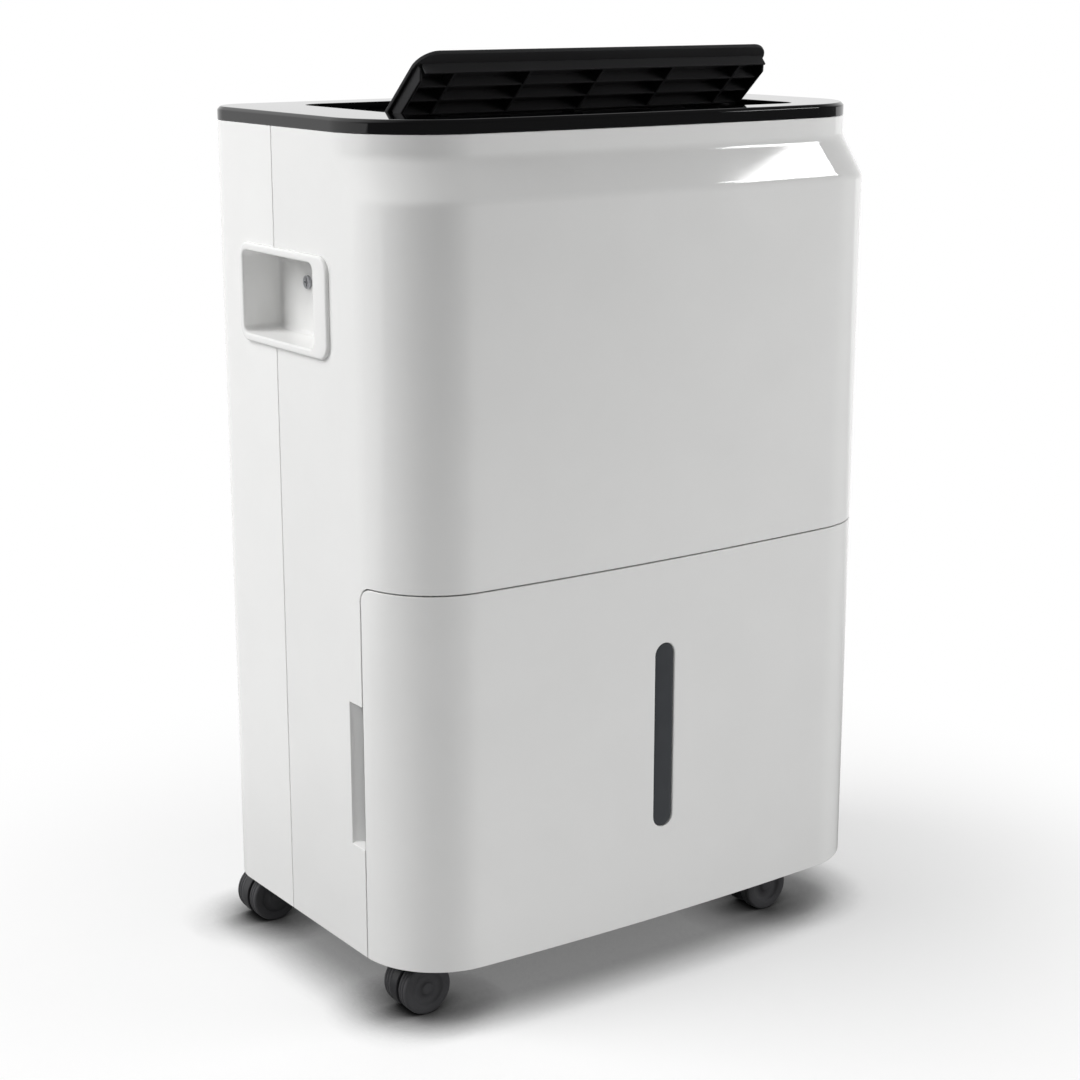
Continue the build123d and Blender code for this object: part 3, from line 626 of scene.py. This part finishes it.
@dataclass
class FrontShell:
    """Upper front, front corners and front part of the sides, with finger scoops behind the tank's edges.

    Scoop holds the Y of its deep end, its lip and its rear end. Plain rows and columns only part flat faces.
    """

    seam: float = 29.0
    low: float = 36.0
    rim: float = 545.0
    edge: TankEdge = TankEdge(277.8, -65.2, 9.8)
    wall: float = 2.8
    slot: tuple[float, float] = (108.0, 201.0)
    slot_depth: float = 12.0
    slot_lip: float = 2.5
    slot_end: float = 1.5
    scoop: tuple[float, float, float] = (-60.2, -50.8, -50.2)
    plain_columns: tuple[float, ...] = (-40.0, 0.0)
    plain_rows: tuple[float, ...] = (290.0, 330.0, 375.0, 488.0, 500.0, 540.0)
    strip_rows: tuple[float, ...] = (70.0, 138.0, 171.0, 235.0)
    shoulder_margin: tuple[float, float] = (4.0, 4.5)
    shoulder_rows: int = 45
    hole_front: float = -21.5
    hole: tuple[float, float] = (414.5, 467.5)

    def columns(self) -> np.ndarray:
        """Stages of the grid's columns from the middle of the front to the seam.

        Returns:
            Rising stages, with a column at each edge of the cut-outs.
        """
        marks = [*self.edge.marks(), *self.scoop, *self.plain_columns, self.hole_front, self.seam]
        sides = PLAN.stage_at_y(np.array(marks), self.seam)
        stages = np.concatenate([np.linspace(0, 1, 24), np.linspace(1, 2, 23), sides])
        return np.unique(np.round(stages, 6))

    def upper(self, stages: np.ndarray) -> Patch:
        """Band above the tank: the plan's outline drawn up from its edge, past the shoulder, to the rim.

        Args:
            stages: Columns of the right half.

        Returns:
            Grid over both halves, with the hand grips' holes left out.
        """
        start, stop = PLAN.shoulder - self.shoulder_margin[0], PLAN.neck + self.shoulder_margin[1]
        bend = np.linspace(start, stop, self.shoulder_rows)
        levels = np.sort([0.0, *self.plain_rows, *self.hole, *bend, self.rim])
        heights = np.repeat(levels[:, None], len(stages), axis=1)
        heights[0] = self.edge.height(PLAN.right_half(stages, heights[:1], self.seam)[0, :, 1])
        points = both_halves(PLAN.right_half(stages, heights, self.seam))
        middle = face_middles(points)
        in_hole = (middle[..., 1] > self.hole_front) & (np.abs(middle[..., 0]) > PLAN.half_width - 1)
        in_hole &= (middle[..., 2] > self.hole[0]) & (middle[..., 2] < self.hole[1])
        return Patch(points, keep=~in_hole)

    def strip(self, stages: np.ndarray) -> np.ndarray:
        """Right strip beside the tank, pushed in at the scoop: deep at the tank's edge, rising to the rear.

        Args:
            stages: Columns of the right half.

        Returns:
            Points as rows by columns by three.
        """
        stages = stages[stages > PLAN.stage_at_y(np.array(self.edge.rear), self.seam) - 1e-4]
        low, high = self.slot
        ends = [self.low, self.edge.top - self.edge.corner]
        levels = np.sort([*ends, low, low + self.slot_end, high - self.slot_end, high, *self.strip_rows])
        heights = np.repeat(levels[:, None], len(stages), axis=1)
        points = PLAN.right_half(stages, heights, self.seam)
        across = np.interp(points[..., 1], self.scoop, [self.slot_depth, self.slot_lip, 0.0])
        inside = (points[..., 2] > low + self.slot_end / 2) & (points[..., 2] < high - self.slot_end / 2)
        points[..., 0] -= across * inside
        return points

    def build(self) -> None:
        """Makes the shell, gives it its wall and rounds its edges."""
        stages = self.columns()
        strip = self.strip(stages)
        patches = [self.upper(stages), Patch(strip), Patch(mirrored(strip))]
        piece = sew("front_casing", patches, WHITE_ABS, "casing", ["front_shell"])
        thicken(piece, self.wall)
        soften(piece, 0.45)


@dataclass
class TankFront:
    """Skin of the water tank that wraps round both front corners, with its window, its webs and its bucket.

    The lens's inset and depth are those of its outlines from the middle of its front to that of its flange.
    """

    low: float = 36.0
    edge: TankEdge = TankEdge(277.0, -66.0, 9.0)
    wall: float = 2.5
    end: float = 29.0
    window_width: float = 15.5
    window: tuple[float, float] = (99.0, 223.0)
    margin: float = 15.0
    frame_half: float = 22.0
    lens_inset: tuple[float, ...] = (5.0, 2.5, 1.2, 0.5, 0.12, 0.08, 0.08, -4.0, -4.0)
    lens_depth: tuple[float, ...] = (0.3, 0.32, 0.4, 0.52, 0.75, 1.2, 1.8, 2.6, 2.6, 4.0, 4.0)
    plain_rows: tuple[float, ...] = (60.0, 250.0, 262.0)
    webs: tuple[float, float] = (59.4, 254.0)
    bucket_front: float = -100.0
    bucket_half: float = 165.0
    bucket_heights: tuple[float, float] = (51.4, 262.0)
    bucket_corner: float = 14.0
    bucket_fillet: float = 7.0

    def window_rows(self) -> np.ndarray:
        """Heights of the rows beside the window."""
        return np.linspace(self.window[0] - self.margin, self.window[1] + self.margin, 17)

    def capsule(self, inset: np.ndarray) -> np.ndarray:
        """Outlines of the window drawn in by inset: two half circles joined by straight sides.

        Args:
            inset: How far each outline is drawn in.

        Returns:
            X and Z as outlines by 48 points by two, from the lower left, counterclockwise.
        """
        radius = self.window_width / 2 - inset[:, None]
        straight = (self.window[1] - self.window[0] - self.window_width) / 2
        side = np.radians([-45, -30, -15] + [0] * 11 + [15, 30, 45])
        rise = np.interp(np.arange(17), [3, 13], [-straight, straight])
        cap = np.radians(np.linspace(45, 135, 9))
        angles = np.concatenate([cap + np.pi, side[1:], cap[1:], side[1:-1] + np.pi])
        lift = np.concatenate([np.full(9, -straight), rise[1:], np.full(8, straight), -rise[1:-1]])
        middle = (self.window[0] + self.window[1]) / 2
        x = radius * np.cos(angles)
        z = middle + lift + radius * np.sin(angles)
        return np.stack([x, z], axis=-1)

    def skin(self) -> Patch:
        """Grid of the skin up to its top edge, which falls in a quarter circle at both rear corners.

        Returns:
            Grid over both halves, open where the window's frame goes.
        """
        near = PLAN.stage_at_x(np.linspace(0, self.frame_half, 5))
        around = PLAN.stage_at_y(self.edge.marks(), self.end)
        stages = np.concatenate([near, np.linspace(0, 1, 20)[4:], np.linspace(1, 2, 23), around])
        stages = np.unique(np.round(stages[stages < around.max() + 1e-6], 6))
        rows = self.window_rows()
        levels = np.sort([self.low, *self.plain_rows, *rows, self.edge.top])
        heights = np.repeat(levels[:, None], len(stages), axis=1)
        heights[-1] = self.edge.height(PLAN.right_half(stages, heights[:1], self.end)[0, :, 1])
        points = both_halves(PLAN.right_half(stages, heights, self.end))
        middle = face_middles(points)
        open_part = (np.abs(middle[..., 0]) < self.frame_half) & (middle[..., 1] < self.bucket_front)
        open_part &= (middle[..., 2] > rows[0]) & (middle[..., 2] < rows[-1])
        return Patch(points, keep=~open_part)

    def window_frame(self) -> Patch:
        """Ring between a rectangle of the skin and the window's outline, blended from one to the other.

        Returns:
            Closed ring of faces on the bowed front.
        """
        rows, columns = self.window_rows(), np.linspace(-self.frame_half, self.frame_half, 9)
        edge_x = [columns, np.full(16, self.frame_half), columns[::-1][1:], np.full(15, -self.frame_half)]
        edge_z = [np.full(9, rows[0]), rows[1:], np.full(8, rows[-1]), rows[::-1][1:-1]]
        outer = np.stack([np.concatenate(edge_x), np.concatenate(edge_z)], axis=-1)
        inner = self.capsule(np.zeros(1))[0]
        share = np.array([0.0, 0.45, 0.8, 1.0])[:, None, None]
        ring = outer * (1 - share) + inner * share
        points = np.stack([ring[..., 0], PLAN.front_y(ring[..., 0]), ring[..., 1]], axis=-1)
        return Patch(points, round_columns=True)

    def lens(self) -> Patch:
        """Window: outlines of the slot drawn in step by step, crowned in front, flanged behind the skin.

        Returns:
            Closed grid from the spine of its front to the spine of its back.
        """
        half = self.window_width / 2
        flat = self.capsule(np.array([half, *self.lens_inset, half]))
        y = PLAN.front_y(flat[..., 0]) + np.array(self.lens_depth)[:, None]
        return Patch(np.stack([flat[..., 0], y, flat[..., 1]], axis=-1), round_columns=True)

    def web(self, height: float) -> Patch:
        """Plate from the skin's inner side straight back to the bucket.

        Args:
            height: Level of its underside.

        Returns:
            Closed grid whose rows are the plate's four long edges.
        """
        # The columns reach past the middle of the corner; those behind the bucket's front are left out.
        stages = np.linspace(0, 1.55, 60)
        half = PLAN.right_half(stages, np.full((1, len(stages)), height), self.end, self.wall)[0]
        half = half[half[:, 1] < self.bucket_front]
        rim = np.concatenate([mirrored(half[:0:-1]), half])
        back = rim * np.array([1, 0, 1]) + np.array([0, self.bucket_front, 0])
        raise_up = np.array([0, 0, self.wall])
        return Patch(np.stack([rim, back, back + raise_up, rim + raise_up]), round_rows=True)

    def tub(self) -> Patch:
        """Bucket: rounded rectangles carried from under its floor, up outside, over the rim and down inside.

        Returns:
            Closed grid from the underside of the floor to its upper side.
        """
        low, high = self.bucket_heights
        wall, bend, half = self.wall, self.bucket_fillet, -self.bucket_front / 2
        quarter, turn = np.linspace(0, np.pi / 2, 7), np.linspace(0, np.pi, 9)
        steps = [(half, low)]
        steps += [(bend * (1 - np.sin(a)), low + bend * (1 - np.cos(a))) for a in quarter]
        steps += [(wall / 2 * (1 - np.cos(a)), high - wall / 2 + wall / 2 * np.sin(a)) for a in turn]
        steps += [(wall + bend * (1 - np.cos(a)), low + wall + bend * (1 - np.sin(a))) for a in quarter]
        inset, height = np.array(steps + [(half, low + wall)]).T
        corner = np.array([self.bucket_half, half]) - inset[:, None]
        flat = loop_of_rectangle(-corner, corner, np.maximum(self.bucket_corner - inset, 0.0))
        return Patch(lifted(flat + np.array([0, -half]), height), round_columns=True)

    def build(self) -> None:
        """Makes the skin, the window, the webs and the bucket."""
        skin = sew("tank_skin", [self.skin(), self.window_frame()], WHITE_ABS, "tank", ["tank_front"])
        thicken(skin, self.wall)
        soften(skin, 0.5)
        sew("tank_webs", [self.web(level) for level in self.webs], WHITE_ABS, "tank")
        sew("level_lens", [self.lens()], SMOKED_LENS, "tank", ["level_window"])
        sew("tank_tub", [self.tub()], MILKY_PP, "tank", ["tank_bucket"])
        dress(["float_bracket"], GREY_PP)
        dress(["tank_float"], FOAM)


@dataclass
class HandGrip:
    """Grip on one side: a raised, rounded rim round a deep pocket.

    Lip and mouth are the roundings of the rim's outer and inner edge; the pocket narrows by its draft.
    """

    side: int
    name: str
    skin: float = 190.0
    proud: float = 2.5
    depth: float = 25.0
    wall: float = 2.5
    rim_low: tuple[float, float] = (-37.0, 410.0)
    rim_high: tuple[float, float] = (72.0, 472.0)
    rim_radius: float = 10.0
    low: tuple[float, float] = (-21.0, 415.0)
    high: tuple[float, float] = (67.0, 467.0)
    radius: float = 5.0
    lip: float = 1.6
    mouth: float = 1.4
    fillet: float = 2.5
    draft: float = 0.5
    sunk: float = 0.6

    def surface(self) -> Patch:
        """Closed surface: rounded rectangles carried from the pocket's back, over the rim, to its floor.

        Returns:
            Grid of rectangles by points.
        """
        arc = np.linspace(0, np.pi / 2, 6)
        top, floor, half = self.skin + self.proud, self.skin - self.depth, (self.high[1] - self.low[1]) / 2
        seat, behind = self.skin - self.sunk, floor - self.wall
        lip, mouth, fillet = self.lip, self.mouth, self.fillet
        # Each step has its share of the pocket's outline (0 is the rim's), its inset and its distance out.
        steps = [(1, half, behind), (1, -self.wall, behind), (1, -self.wall, seat), (0, 0, seat)]
        steps += [(0, lip * (1 - np.cos(a)), top - lip + lip * np.sin(a)) for a in arc]
        steps += [(1, -mouth * (1 - np.sin(a)), top - mouth + mouth * np.cos(a)) for a in arc]
        steps += [(1, self.draft + fillet * (1 - np.cos(a)), floor + fillet * (1 - np.sin(a))) for a in arc]
        steps = np.array([*steps, (1, half, floor)])
        share, inset = steps[:, :1], steps[:, 1:2]
        low = np.array(self.rim_low) * (1 - share) + np.array(self.low) * share + inset
        high = np.array(self.rim_high) * (1 - share) + np.array(self.high) * share - inset
        radius = self.rim_radius * (1 - share) + self.radius * share - inset
        flat = loop_of_rectangle(low, high, np.maximum(radius[:, 0], 0.0))
        x = np.broadcast_to(steps[:, 2:], flat.shape[:2]) * self.side
        return Patch(np.concatenate([x[..., None], flat], axis=-1), round_columns=True)

    def build(self) -> None:
        """Makes the grip and dresses its screw."""
        sew(f"grip_{self.name}", [self.surface()], WHITE_ABS, "casing", [f"hand_grip_{self.name}"])
        dress([f"grip_screw_{self.name}"], ZINC_STEEL)


@dataclass
class TopPanel:
    """Black top with its tray, controls and air outlet; a cap's dish is given by inset and depth."""

    buttons: int = 5
    pitch: float = 30.0
    row: float = 34.0
    size: tuple[float, float] = (16.0, 9.0)
    base: float = 544.7
    top: float = 549.0
    edge: float = 0.9
    corner: float = 3.0
    dish: tuple[tuple[float, float], ...] = ((1.6, 0.05), (2.6, 0.22), (3.6, 0.3), (4.5, 0.32))
    ink_half: float = 0.28
    ink_sunk: tuple[float, float] = (0.4, 0.2)

    def cap(self, x: float) -> Patch:
        """Button cap: rounded rectangles carried up its side, over a rounded edge and into a shallow dish.

        Args:
            x: Place of the button across the panel.

        Returns:
            Closed grid from the underside to the middle of the dish.
        """
        arc, edge = np.linspace(0, np.pi / 2, 6), self.edge
        half = np.array(self.size) / 2
        steps = [(half[1], self.base), (0, self.base)]
        steps += [(edge * (1 - np.cos(a)), self.top - edge + edge * np.sin(a)) for a in arc]
        steps += [(inset, self.top - depth) for inset, depth in self.dish]
        inset, height = np.array(steps).T
        middle = np.array([x, self.row])
        low = middle - half + inset[:, None]
        flat = loop_of_rectangle(low, 2 * middle - low, np.maximum(self.corner - inset, 0.0))
        return Patch(lifted(flat, height), round_columns=True)

    def stroke(self, path: np.ndarray, x: float) -> Patch:
        """Printed line: a flat four-cornered profile carried along a path, closed at both ends.

        Args:
            path: Points of the line from the middle of the cap.
            x: Place of the button across the panel.

        Returns:
            Closed grid of profiles along the path.
        """
        ahead = np.gradient(path, axis=0)
        ahead /= np.linalg.norm(ahead, axis=1, keepdims=True)
        aside = np.stack([-ahead[:, 1], ahead[:, 0]], axis=-1) * self.ink_half
        edges = np.stack([path - aside, path + aside, path + aside, path - aside], axis=1)
        heights = np.broadcast_to(self.top - np.repeat(self.ink_sunk, 2), edges.shape[:2])
        points = np.concatenate([edges + np.array([x, self.row]), heights[..., None]], axis=-1)
        ends = [np.repeat(points[k].mean(axis=0)[None, None], 4, axis=1) for k in (0, -1)]
        return Patch(np.concatenate([ends[0], points, ends[1]]), round_columns=True)

    def symbols(self) -> list[list[np.ndarray]]:
        """Paths of the common signs: power, less, more, fan speed and timer.

        Returns:
            For each button, its lines in millimetres from the middle of the cap.
        """

        def ring(radius: float, start: float, stop: float) -> np.ndarray:
            """Arc round the middle of the cap, angles in degrees."""
            angle = np.radians(np.linspace(start, stop, 28))
            return np.stack([radius * np.cos(angle), radius * np.sin(angle)], axis=-1)

        def line(*ends: float) -> np.ndarray:
            """Straight line between two points."""
            return np.linspace(ends[:2], ends[2:], 4)

        power = [ring(1.9, 125, 415), line(0, 0.5, 0, 2.4)]
        less, more = [line(-1.8, 0, 1.8, 0)], [line(-1.8, 0, 1.8, 0), line(0, -1.8, 0, 1.8)]
        speed = [line(k * 1.4, -1.7, k * 1.4, -0.3 + k) for k in (-1, 0, 1)]
        timer = [ring(2.0, 0, 360), line(0, 0, 0, 1.3), line(0, 0, 0.9, -0.5)]
        return [power, less, more, speed, timer]

    def build(self) -> None:
        """Makes the panel, the buttons with their signs, and dresses what lies in the outlet."""
        rounded_copy("top_panel", "casing", BLACK_GLOSS, 0.5)
        rounded_copy("display_window", "casing", DISPLAY_LENS, 0.3)
        for number, lines in enumerate(self.symbols()):
            x = (number - (self.buttons - 1) / 2) * self.pitch
            body = f"button_{number + 1}"
            sew(f"button_cap_{number + 1}", [self.cap(x)], BUTTON_ABS, body, [f"push_button_{number + 1}"])
            sew(f"button_sign_{number + 1}", [self.stroke(path, x) for path in lines], PALE_INK, body)
        dress(["outlet_grille"], BLACK_SATIN)
        dress(["control_board"], BOARD)


@dataclass
class Flap:
    """Louver flap over the air outlet, with its vanes and shaft."""

    edge: float = 0.7
    vane_edge: float = 0.35

    def build(self) -> None:
        """Rounds the leaf and the vanes and dresses the shaft."""
        rounded_copy("louver_flap", "flap", FLAP_ABS, self.edge)
        rounded_copy("louver_vanes", "flap", FLAP_ABS, self.vane_edge)
        dress(["flap_shaft"], ZINC_STEEL)


@dataclass
class Castor:
    """Twin-wheel castor at one corner."""

    end: str
    side: str
    stem: tuple[float, float]
    trail: float = 21.5
    radius: float = 17.0
    start: float = 4.0
    width: float = 9.0
    axle: float = 2.05
    spin: int = 64
    shoulder: float = 1.6
    grooves: tuple[float, float] = (0.64, 0.36)
    groove_half: tuple[float, float] = (0.6, 0.35)
    groove_depth: float = 0.5

    def profile(self) -> np.ndarray:
        """Half section of the pair: hub, dished face, rounded shoulders, two grooves in the tread, the axle.

        Returns:
            Radius and distance along the axle, from one hub to the other.
        """
        arc = np.linspace(0, np.pi / 2, 5)
        face, inner, big = self.start + self.width, self.start, self.radius
        bend, deep = self.shoulder, self.radius - self.groove_depth
        steps = [(0.0, face - 0.2), (3.6, face - 0.2), (4.1, face - 0.6), (4.25, face - 1.2)]
        steps += [(10.0, face - 1.3), (10.7, face - 0.4), (11.2, face)]
        steps += [(big - bend + bend * np.sin(a), face - bend + bend * np.cos(a)) for a in arc]
        wide, narrow = self.groove_half
        for share in self.grooves:
            middle = inner + self.width * share
            steps += [(big, middle + wide), (deep, middle + narrow)]
            steps += [(deep, middle - narrow), (big, middle - wide)]
        steps += [(big - bend + bend * np.cos(a), inner + bend - bend * np.sin(a)) for a in arc]
        half = np.array([*steps, (self.axle, inner)])
        return np.concatenate([half, half[::-1] * np.array([1, -1])])

    def build(self) -> None:
        """Turns the wheels' profile round the axle and rounds the fork."""
        name = f"{self.end}_{self.side}"
        radius, along = self.profile().T
        angle = np.linspace(0, 2 * np.pi, self.spin, endpoint=False)
        x = self.stem[0] - self.trail + radius[:, None] * np.cos(angle)
        y = np.broadcast_to(self.stem[1] + along[:, None], x.shape)
        z = self.radius + radius[:, None] * np.sin(angle)
        wheels = Patch(np.stack([x, y, z], axis=-1), round_columns=True)
        sew(f"castor_tyres_{name}", [wheels], TREAD_PU, f"wheels_{name}", [f"castor_wheels_{name}"])
        rounded_copy(f"castor_fork_{name}", f"castor_{name}", CASTOR_PA, 0.6)


@dataclass
class RearSide:
    """Rear shell with its screws, filter, drain and cord bush."""

    edge: float = 0.5

    def build(self) -> None:
        """Rounds the shell and the filter's frame and dresses the small pieces."""
        rounded_copy("rear_shell", "casing", REAR_ABS, self.edge)
        rounded_copy("filter_frame", "filter", BLACK_SATIN, 0.6)
        dress(["filter_mesh"], NYLON_NET)
        dress(["rear_screws"], ZINC_STEEL)
        dress(["drain_spout"], GREY_PP)
        dress(["drain_plug", "cord_gland"], RUBBER)


@dataclass
class Works:
    """Frame, refrigeration and fan inside the casing."""

    finishes: dict[str, Finish] = field(
        default_factory=lambda: {
            "base_pan": BLACK_SATIN,
            "bulkhead": GREY_PP,
            "drip_deck": GREY_PP,
            "evaporator": ALUMINIUM,
            "condenser": ALUMINIUM,
            "refrigerant_pipes": COPPER,
            "compressor": BLACK_ENAMEL,
            "compressor_mounts": RUBBER,
            "fan_scroll": BLACK_SATIN,
            "fan_motor": BLACK_ENAMEL,
            "fan_impeller": GREY_PP,
            "tank_switch": BLACK_SATIN,
        }
    )

    def build(self) -> None:
        """Dresses each solid."""
        for node, finish in self.finishes.items():
            dress([node], finish)


@dataclass(frozen=True)
class Lamp:
    """Soft oblong lamp: where it stands, what it faces, its sides, its power and its roll in degrees."""

    name: str
    place: tuple[float, float, float]
    target: tuple[float, float, float]
    sides: tuple[float, float]
    power: float
    roll: float = 0.0
    mirrored: bool = True

    def build(self) -> None:
        """Puts the lamp in the scene, out of the camera's sight and, if not mirrored, out of reflections."""
        data = bpy.data.lights.new(self.name, "AREA")
        data.shape = "RECTANGLE"
        data.size, data.size_y = self.sides
        data.energy = self.power
        lamp = add_object(self.name, data)
        lamp.location = self.place
        way = Vector(self.target) - Vector(self.place)
        facing = way.to_track_quat("-Z", "Y") @ Quaternion((0, 0, 1), np.radians(self.roll))
        lamp.rotation_euler = facing.to_euler()
        lamp.visible_camera = False
        lamp.visible_glossy = self.mirrored


@dataclass
class Studio:
    """White floor that fades into a white room, soft lamps and the camera."""

    floor_near: float = 0.2
    floor_far: float = 0.55
    floor_gain: float = 0.97
    floor_lift: float = 0.52
    floor_bounce: str = "#AFAFAF"
    floor_rings: tuple[float, float] = (300.0, 60000.0)
    # The floor's painted contact shadow: how far its occlusion reaches, in metres, and how steeply it
    # darkens.
    painted_shadow_reach: float = 0.044
    painted_shadow_power: float = 3.2
    ambient: float = 0.12
    white_floor: float = 0.4
    white_room: float = 0.5
    eye: tuple[float, float, float] = (-0.8305, -1.1581, 0.6282)
    pitch: float = 14.30
    heading: float = -35.28
    lens: float = 72.77
    sensor: float = 36.0
    lamps: tuple[Lamp, ...] = (
        Lamp("left_softbox", (-2.25, 1.1, 2.4), (0, 0, 0.3), (2.4, 2.4), 114.0, mirrored=False),
        Lamp("front_softbox", (1.8, -1.25, 0.6), (0, -0.1, 0.3), (1.2, 1.2), 28.0, mirrored=False),
        Lamp("low_fill", (-0.3, -0.75, 0.12), (-0.05, -0.1, 0.15), (0.5, 0.2), 1.1, mirrored=False),
        Lamp("window_light", (0.872, -0.56, 1.117), (0.122, -0.11, 0.467), (0.24, 0.12), 1.4, -16.8),
    )

    def floor(self) -> None:
        """Makes the floor: rings round the object whose distance grows evenly in scale."""
        reach = np.concatenate([[0.0], np.geomspace(*self.floor_rings, 24)])
        angle = np.linspace(0, 2 * np.pi, 64, endpoint=False)
        ring = np.stack([np.cos(angle), np.sin(angle), np.zeros_like(angle)], axis=-1)
        mesh = bpy.data.meshes.new("floor")
        patch = Patch(reach[:, None, None] * ring, round_columns=True)
        mesh.from_pydata(patch.points.reshape(-1, 3) * MM, [], patch.faces(0)[:, ::-1].tolist())
        floor = add_object("floor", mesh)
        mesh.materials.append(self.floor_paint())

    def floor_paint(self) -> Material:
        """Matt white paint near the object, with the lamps' shadow and a painted contact shadow; plain white
        further off.
        """
        material = bpy.data.materials.new("floor_matt_white")
        tree = empty_tree(material)
        where = add_node(tree, "TexCoord").outputs["Object"]
        reach = add_node(tree, "VectorMath", {"operation": "LENGTH"}, {0: where}).outputs["Value"]
        span = (self.floor_near, self.floor_far)
        fade = ramp(tree, reach, span, (self.floor_lift, 1.0), "SMOOTHSTEP")
        diffuse = add_node(tree, "LightPath").outputs["Is Diffuse Ray"]
        share = work_out(tree, "MULTIPLY", fade, work_out(tree, "SUBTRACT", 1.0, diffuse))
        white = ramp(tree, self.seen(tree, where, self.white_floor), (0.0, 1.0), (self.ambient, 1.0))
        # Painted shadow: occlusion close under the object darkens both the floor's glow and its paint.
        shade = self.painted_contact_shadow(tree)
        strength = work_out(tree, "MULTIPLY", white, shade)
        glow = add_node(tree, "Emission", inputs={"Strength": strength}).outputs[0]
        mix = add_node(tree, "MixShader", inputs={0: share, 1: self.paint(tree, shade), 2: glow}).outputs[0]
        add_node(tree, "OutputMaterial", inputs={"Surface": mix})
        return material

    def painted_contact_shadow(self, tree: NodeTree) -> NodeSocket:
        """Painted shadow close under the object, from occlusion, not from the lamps: 1 in the open, near 0
        below the casing.
        """
        nearby = add_node(tree, "AmbientOcclusion", {"samples": 12}, {"Distance": self.painted_shadow_reach})
        return work_out(tree, "POWER", nearby.outputs["AO"], self.painted_shadow_power)

    def paint(self, tree: NodeTree, shade: NodeSocket) -> NodeSocket:
        """Matt paint that the camera sees brighter than it lights the object, so its lit part is plain white.

        Args:
            tree: Node tree that takes the nodes.
            shade: Painted shadow close under the object, which darkens the colour the camera sees.

        Returns:
            Shader output of the paint.
        """
        camera = add_node(tree, "LightPath").outputs["Is Camera Ray"]
        # The colour the camera sees carries the painted contact shadow.
        bright = work_out(tree, "MULTIPLY", shade, self.floor_gain)
        tones = {0: camera, 6: linear(self.floor_bounce), 7: bright}
        colour = add_node(tree, "Mix", {"data_type": "RGBA"}, tones).outputs[2]
        return add_node(tree, "BsdfDiffuse", inputs={"Color": colour}).outputs[0]

    def seen(self, tree: NodeTree, where: NodeSocket, far: float) -> NodeSocket:
        """Whether a ray shows the white background: from the camera, through a clear piece, or in a gloss.

        Args:
            tree: Node tree that takes the nodes.
            where: Place or direction; a gloss shows white only towards +Y, behind the object.
            far: Y from which a gloss shows it fully.

        Returns:
            Output that is 1 where the background is white.
        """
        path = add_node(tree, "LightPath")
        y = add_node(tree, "SeparateXYZ", inputs={0: where}).outputs["Y"]
        behind = ramp(tree, y, (0.0, far), (0.0, 1.0))
        gloss = work_out(tree, "MULTIPLY", path.outputs["Is Glossy Ray"], behind)
        direct = work_out(tree, "MAXIMUM", path.outputs["Is Camera Ray"], gloss)
        return work_out(tree, "MAXIMUM", direct, path.outputs["Is Transmission Ray"])

    def room(self) -> None:
        """Lights the scene evenly from all round and shows plain white behind it."""
        world = bpy.data.worlds.new("studio_room")
        bpy.context.scene.world = world
        tree = empty_tree(world)
        even = add_node(tree, "Background", inputs={"Strength": self.ambient}).outputs[0]
        white = add_node(tree, "Background", inputs={"Color": (1, 1, 1, 1), "Strength": 1.0}).outputs[0]
        way = add_node(tree, "TexCoord").outputs["Generated"]
        share = self.seen(tree, way, self.white_room)
        mix = add_node(tree, "MixShader", inputs={0: share, 1: even, 2: white}).outputs[0]
        add_node(tree, "OutputWorld", inputs={"Surface": mix})

    def camera(self) -> None:
        """Puts the camera at the photograph's place and angle."""
        data = bpy.data.cameras.new("camera")
        data.lens = self.lens
        data.sensor_width = self.sensor
        camera = add_object("camera", data)
        camera.location = self.eye
        camera.rotation_euler = np.radians([90 - self.pitch, 0.0, self.heading])
        bpy.context.scene.camera = camera

    def build(self) -> None:
        """Sets up the floor, the room, the lamps and the camera."""
        self.floor()
        self.room()
        for lamp in self.lamps:
            lamp.build()
        self.camera()
        bpy.context.scene.view_settings.view_transform = "Standard"


# Stems of the right castors; the left ones mirror them.
CASTOR_PLACES = {"front": (140.0, -78.0), "rear": (148.5, 103.0)}


def main() -> None:
    """Builds the sub-assemblies in order, then the studio."""
    logging.basicConfig(level=logging.INFO, format="%(message)s")
    FrontShell().build()
    TankFront().build()
    for side, name in ((1, "right"), (-1, "left")):
        HandGrip(side, name).build()
    TopPanel().build()
    Flap().build()
    for end, (x, y) in CASTOR_PLACES.items():
        for side, sign in (("left", -1), ("right", 1)):
            Castor(end, side, (sign * x, y)).build()
    RearSide().build()
    Works().build()
    Studio().build()


if __name__ == "__main__":
    main()
